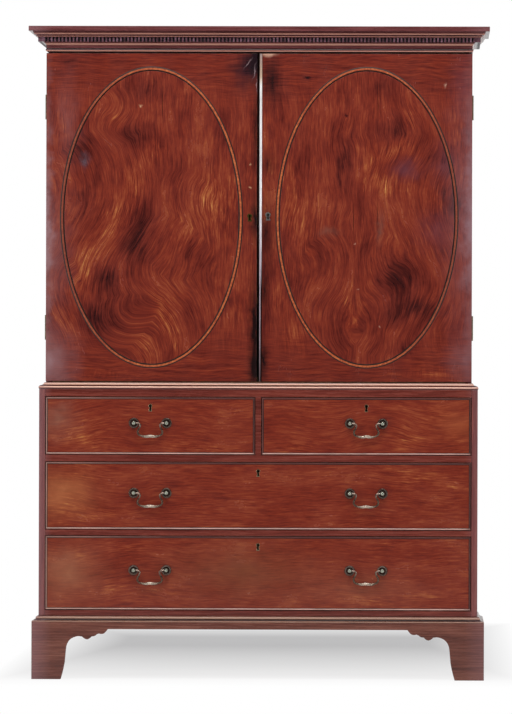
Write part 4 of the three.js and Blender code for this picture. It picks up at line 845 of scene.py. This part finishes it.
def half_round(low, high, levels=60, sides=16):
    """A half circle's section, flattened to the strip's rise, carried up the door and drawn in to a
    point at both ends."""
    turn = np.linspace(0, pi, sides + 1)
    middle, half = (low.x + high.x) / 2, (high.x - low.x) / 2
    x = np.concatenate([middle - half * np.cos(turn), [low.x]])
    y = np.concatenate([high.y - (high.y - low.y) * np.sin(turn), [high.y]])
    z = np.linspace(low.z, high.z, levels)
    rows = np.concatenate([[0], np.ones(levels), [0]])[:, None]
    z = np.concatenate([z[:1], z, z[-1:]])[:, None]
    return np.stack([middle + (x - middle) * rows, high.y + (y - high.y) * rows,
                     np.broadcast_to(z, (levels + 2, len(x)))], -1)


skin("meeting_strip", half_round(low, high), painted_highlight_brass, "right_door", ["meeting_bead"])


# Keyholes: a cast brass escutcheon is driven into each, so that the key doesn't wear the wood. The
# doors' have a broad flange and the drawers' a thin rim.
LINER, BITE, WALL_DEPTH = 0.8, 0.3, 6
liner_brass = brass_patina_and_painted_light("drawer_escutcheon_brass_rubbed", ((0.0, "#8f7f62"), (1.0, "#b0a184")))
olive_brass = brass_patina_and_painted_light("left_escutcheon_brass_lacquered", ((0.0, "#5f5628"), (1.0, "#9c8f48")))
cream_brass = brass_patina_and_painted_light("right_escutcheon_brass_polished", ((0.0, "#a39a94"), (1.0, "#e2dad6")))


def keyhole_outline(size, grow, steps=24):
    """A round head, open below, on a foot that is straight or narrows, all moved outwards by an
    amount. The size is the head's radius, half the foot's width and the length, in mm."""
    head, foot, length = size
    head_z = length / 2 - head
    opening = np.arcsin(0.5)
    turn = np.linspace(opening - pi / 2, 1.5 * pi - opening, steps)
    curve = np.stack([(head + grow) * np.cos(turn), head_z + (head + grow) * np.sin(turn)], -1)
    low = -length / 2 - grow
    return np.concatenate([curve, [[-foot - grow, low], [foot + grow, low]], curve[:1]]) * mm


def escutcheon(x, front_y, z, size, flange):
    """A keyhole's outline at stages round a thin wall: inside back, inside front, the flange's crown,
    its outer edge in front and at the wood, the outside back, and the inside back again."""
    stages = ((-BITE, WALL_DEPTH), (-BITE, -0.35), (flange * 0.5, -0.55), (flange, -0.3),
              (flange, BITE), (LINER, BITE), (LINER, WALL_DEPTH), (-BITE, WALL_DEPTH))
    rows = []
    for grow, back in stages:
        outline = keyhole_outline(size, grow)
        rows.append(np.stack([x * mm + outline[:, 0], np.full(len(outline), front_y + back * mm),
                              z * mm + outline[:, 1]], -1))
    return np.array(rows)


DOOR_KEY, DRAWER_KEY, THIN_RIM = (3.4, 2.5, 15.5), (4.2, 3.2, 19), 1.3
KEYHOLES = (
    ("left_door", -27, door_face, 1344, DOOR_KEY, 3.6, olive_brass),
    ("right_door", 26.1, door_face, 1347.5, DOOR_KEY, 4.4, cream_brass),
    ("short_left_drawer", -314.25, base_face, 790, DRAWER_KEY, THIN_RIM, liner_brass),
    ("short_right_drawer", 314.25, base_face, 790, DRAWER_KEY, THIN_RIM, liner_brass),
    ("middle_drawer", 0, base_face, 601, DRAWER_KEY, THIN_RIM, liner_brass),
    ("bottom_drawer", 0, base_face, 386, DRAWER_KEY, THIN_RIM, liner_brass))
for body, x, front_y, z, size, flange, finish in KEYHOLES:
    skin(f"escutcheon_{body}", escutcheon(x, front_y, z, size, flange), finish, body)


# Butt hinges: two to a door, each a leaf on the case and a leaf on the door with its pin.
# Cast brass, dulled and dirty: brown, with darker blotches.
HINGE_BLOTCH = 9 * mm
hinge_brass, tree, place = new_finish("hinge_brass_cast_and_dulled")
blotch = add(tree, "TexNoise", {"Vector": place, "Scale": 1 / HINGE_BLOTCH, "Detail": 3})
colour = add(tree, "ValToRGB", {"Fac": blotch}, stops=((0.35, "#3f3424"), (0.65, "#6f5f44")))
surface(tree, colour, rough=0.45, Metallic=0.9)
for node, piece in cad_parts.items():
    if node.startswith("hinge_"):
        piece.material_slots[0].material = hinge_brass


# Cornice: a mitred mahogany frame run with a moulding, and a plain rail behind. Its polish has gone
# mauve, with painted highlights on the crests of the moulding and painted shade in its hollows.
CORNICE_TONES = ((0.34, "#441c1d"), (0.5, "#5f2d2d"), (0.66, "#733d3e"))
CORNICE_HIGHLIGHTS = (
    (0.0, NONE), (0.026, NONE), (0.033, FULL), (0.05, FULL), (0.058, NONE), (0.152, NONE),
    (0.163, FULL), (0.193, FULL), (0.208, NONE), (0.268, NONE), (0.278, FULL), (0.296, FULL),
    (0.306, NONE), (0.39, NONE), (0.402, FULL), (0.42, FULL), (0.43, NONE))
CORNICE_SHADES = (
    (0.0, FULL), (0.02, FULL), (0.03, NONE), (0.06, NONE), (0.07, FULL), (0.09, FULL),
    (0.105, NONE), (0.45, NONE), (0.458, HALF), (0.467, HALF), (0.475, NONE))
cornice_mahogany = straight_mahogany(
    "cornice_mahogany_painted_highlights_and_shade", "xy", CORNICE_TONES, edge_tint=0.4, highlight_shares=CORNICE_HIGHLIGHTS,
    shade_shares=CORNICE_SHADES, highlight_tint="#b47e6c")
CORNICE_RUNS = (
    ((-5.2, 0), (-5.2, 3.4)), ((-2.2, 3.4),),
    ((-2.2, 3.5), (0.6, 4.2), (1.9, 6.4), (2.3, 8.7), (1.4, 11.2), (-0.7, 12.6)),
    ((-1, 13.4), (0.3, 13.4)), ((0.3, 13.5), (0.3, 18.4)),
    ((0.3, 18.5), (0.6, 21.2), (1.4, 24), (3.2, 26.5), (5.3, 28)), ((7.3, 28.4), (7.3, 31.2)),
    ((14, 31.2), (14, 44.3)), ((24.6, 44.3), (24.6, 45.7)), ((26.4, 45.7),),
    ((26.4, 45.8), (28.3, 46.4), (29.1, 47.8), (28.3, 49.2), (26.7, 49.9)), ((27.9, 50.2),),
    ((27.9, 50.3), (31.5, 50.8), (33.9, 52), (35.2, 53.9), (35.4, 56.2)), ((36.5, 56.5), (36.5, 58.1)),
    ((38.4, 58.5), (38.4, 61.8)), ((49.5, 61.8),), ((50, 62.3), (50, 75.2)), ((49.2, 75.95),))
CORNICE_FRAME, CORNICE_RAIL, FASCIA = 36 * mm, 20 * mm, 14.2 * mm
low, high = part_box("cornice")
press_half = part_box("press_side_right")[1].x
skin("cornice_moulding", moulding_run(CORNICE_RUNS, press_half, door_face, low.z, CORNICE_FRAME),
     cornice_mahogany, "root", ["cornice"])
plank("cornice_rear_rail", (CORNICE_FRAME - press_half, rear_y - CORNICE_RAIL, low.z),
      (press_half - CORNICE_FRAME, rear_y, high.z - FASCIA), level_mahogany)


# Dentil course: a notched strip planted on the cornice, round its front and sides.
# Mahogany: mauve-brown on its face, and near-black with painted shade wherever the notches go
# in.
NOTCH, DENTIL_GRAIN = 3 * mm, 14 * mm
low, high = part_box("dentil_course")
dentil_mahogany, tree, place = new_finish("dentil_mahogany_with_painted_notch_shade")
grain = add(tree, "TexNoise", {"Vector": place, "Scale": 1 / DENTIL_GRAIN, "Detail": 4})
colour = add(tree, "ValToRGB", {"Fac": grain},
             stops=((0.35, "#40212a"), (0.5, "#58343f"), (0.65, "#6f4e5c")))
x, y = [add(tree, "SeparateXYZ", {"Vector": place}, out=axis) for axis in "XY"]
x = add(tree, "Math", {0: x}, operation="ABSOLUTE")
# Painted shade: near-black more than a notch's depth in from the outer faces.
inside = add(tree, "Math", {0: x, 1: high.x - NOTCH}, operation="LESS_THAN")
behind = add(tree, "Math", {0: y, 1: low.y + NOTCH}, operation="GREATER_THAN")
notch_shade = add(tree, "Math", {0: inside, 1: behind}, operation="MULTIPLY")
colour = add(tree, "Mix", {0: notch_shade, 6: colour, 7: linear("#12060c")}, **MIXED)
surface(tree, colour, rough=0.35)
eased("dentil_course", "root", dentil_mahogany, arris=0.3 * mm, whole_faces=False)


# Studio: a pale floor and a white room, a low soft light on each side of the front and a broad one
# above it. The camera stands a little to the right of the middle and level, and looks back to it.
FRAME_WIDTH, CAMERA_DISTANCE, CAMERA_X, CAMERA_Z, SENSOR = 1.4885, 24.0, 0.487, 0.9382, 36
CAMERA_TURN, CAMERA_ROLL = radians(1.1795), radians(-0.16)
FLOOR_HALF, FLOOR_FRONT, FLOOR_SHARE = 30, 2.7, 0.25
# The fades shape the painted shadow on the floor: across it, towards the front and towards the back.
FADE_ASIDE, FADE_AHEAD, FADE_BEHIND = (0.5, 0.8), (2.6, -0.8), (3.4, 5.0)
AIM_HEIGHT, FAR_LIMIT, ROOM_AHEAD, ROOM_DIM = 0.95, 100, 0.04, 0.34
mesh = bpy.data.meshes.new("studio_floor")
corners = np.array([[-1, 0, 0], [1, 0, 0], [1, 1, 0], [-1, 1, 0]]) * FLOOR_HALF - (0, FLOOR_FRONT, 0)
mesh.from_pydata(corners.tolist(), [], [[0, 1, 2, 3]])
floor = bpy.data.objects.new("studio_floor", mesh)
bpy.context.scene.collection.objects.link(floor)

# Matt white paint. Its pure white share falls from full 0.8 m in front of the press to a quarter 2.6 m
# behind it, stays a quarter to 3.4 m and is full again at 5 m, in a strip 1 to 1.6 m wide; there the
# dim matt floor shows through as a painted shadow, which near the press carries its real soft shadow
# too. Beside the strip it is pure white.
floor_paint, tree, place = new_finish("floor_matt_white_with_painted_shadow")
aside, back = [add(tree, "SeparateXYZ", {"Vector": place}, out=axis) for axis in "XY"]
aside = add(tree, "Math", {0: aside}, operation="ABSOLUTE")
away = FLOOR_SHARE
for way, (near, far) in ((aside, FADE_ASIDE), (back, FADE_AHEAD), (back, FADE_BEHIND)):
    fade = add(tree, "MapRange", {"Value": way, "From Min": near, "From Max": far,
                                  "To Min": FLOOR_SHARE, "To Max": 1})
    away = add(tree, "Math", {0: away, 1: fade}, operation="MAXIMUM")
path = tree.nodes.new("ShaderNodeLightPath")
seen = add(tree, "Math", {0: path.outputs["Is Camera Ray"], 1: path.outputs["Is Glossy Ray"]},
           operation="MAXIMUM")
seen = add(tree, "Math", {0: seen, 1: path.outputs["Is Transmission Ray"]}, operation="MAXIMUM")
share = add(tree, "Math", {0: seen, 1: away}, operation="MULTIPLY")
matt = add(tree, "BsdfDiffuse", {"Color": linear("#f4f3f5")})
white = add(tree, "Emission", {"Color": (1, 1, 1, 1), "Strength": 1})
shader = add(tree, "MixShader", {0: share, 1: matt, 2: white})
add(tree, "OutputMaterial", {"Surface": shader})
mesh.materials.append(floor_paint)

world = bpy.data.worlds.new("white_room")
bpy.context.scene.world = world
world.use_nodes = True
tree = world.node_tree
tree.nodes.clear()
path = tree.nodes.new("ShaderNodeLightPath")
way = add(tree, "TexCoord", out="Generated")
way = add(tree, "SeparateXYZ", {"Vector": way}, out="Y")
room = add(tree, "MapRange", {"Value": way, "From Min": -0.3, "From Max": 0.3, "To Min": ROOM_AHEAD,
                              "To Max": 1})
glossy = add(tree, "Math", {0: path.outputs["Is Glossy Ray"], 1: path.outputs["Is Transmission Ray"]},
             operation="MAXIMUM")
strength = add(tree, "Mix", {0: glossy, 2: ROOM_DIM, 3: room})
strength = add(tree, "Mix", {0: path.outputs["Is Camera Ray"], 2: strength, 3: 1.0})
light = add(tree, "Background", {"Color": (1, 1, 1, 1), "Strength": strength})
add(tree, "OutputWorld", {"Surface": light})

LAMPS = (("softbox_left", (-2.9, -3.3, 1.15), 1.2, 1.8, 38),
         ("softbox_right", (2.9, -3.3, 1.15), 1.2, 1.8, 34),
         ("softbox_above", (0, -2.5, 3.5), 3.0, 1.2, 66))
for name, spot, width, height, watts in LAMPS:
    lamp = bpy.data.lights.new(name, "AREA")
    lamp.shape, lamp.size, lamp.size_y, lamp.energy = "RECTANGLE", width, height, watts
    holder = bpy.data.objects.new(name, lamp)
    bpy.context.scene.collection.objects.link(holder)
    holder.location = spot
    aim = np.array([0, 0, AIM_HEIGHT]) - np.array(spot)
    pitch = np.arctan2(np.hypot(aim[0], aim[1]), -aim[2])
    holder.rotation_euler = (pitch, 0, np.arctan2(-aim[0], aim[1]))

camera = bpy.data.objects.new("camera", bpy.data.cameras.new("camera"))
bpy.context.scene.collection.objects.link(camera)
camera.data.sensor_fit, camera.data.sensor_width = "HORIZONTAL", SENSOR
camera.data.lens = SENSOR * CAMERA_DISTANCE / FRAME_WIDTH
camera.data.clip_end = FAR_LIMIT
camera.location = (CAMERA_X, base_face - CAMERA_DISTANCE, CAMERA_Z)
camera.rotation_euler = (pi / 2, CAMERA_ROLL, CAMERA_TURN)
bpy.context.scene.camera = camera
bpy.context.scene.view_settings.view_transform = "Standard"
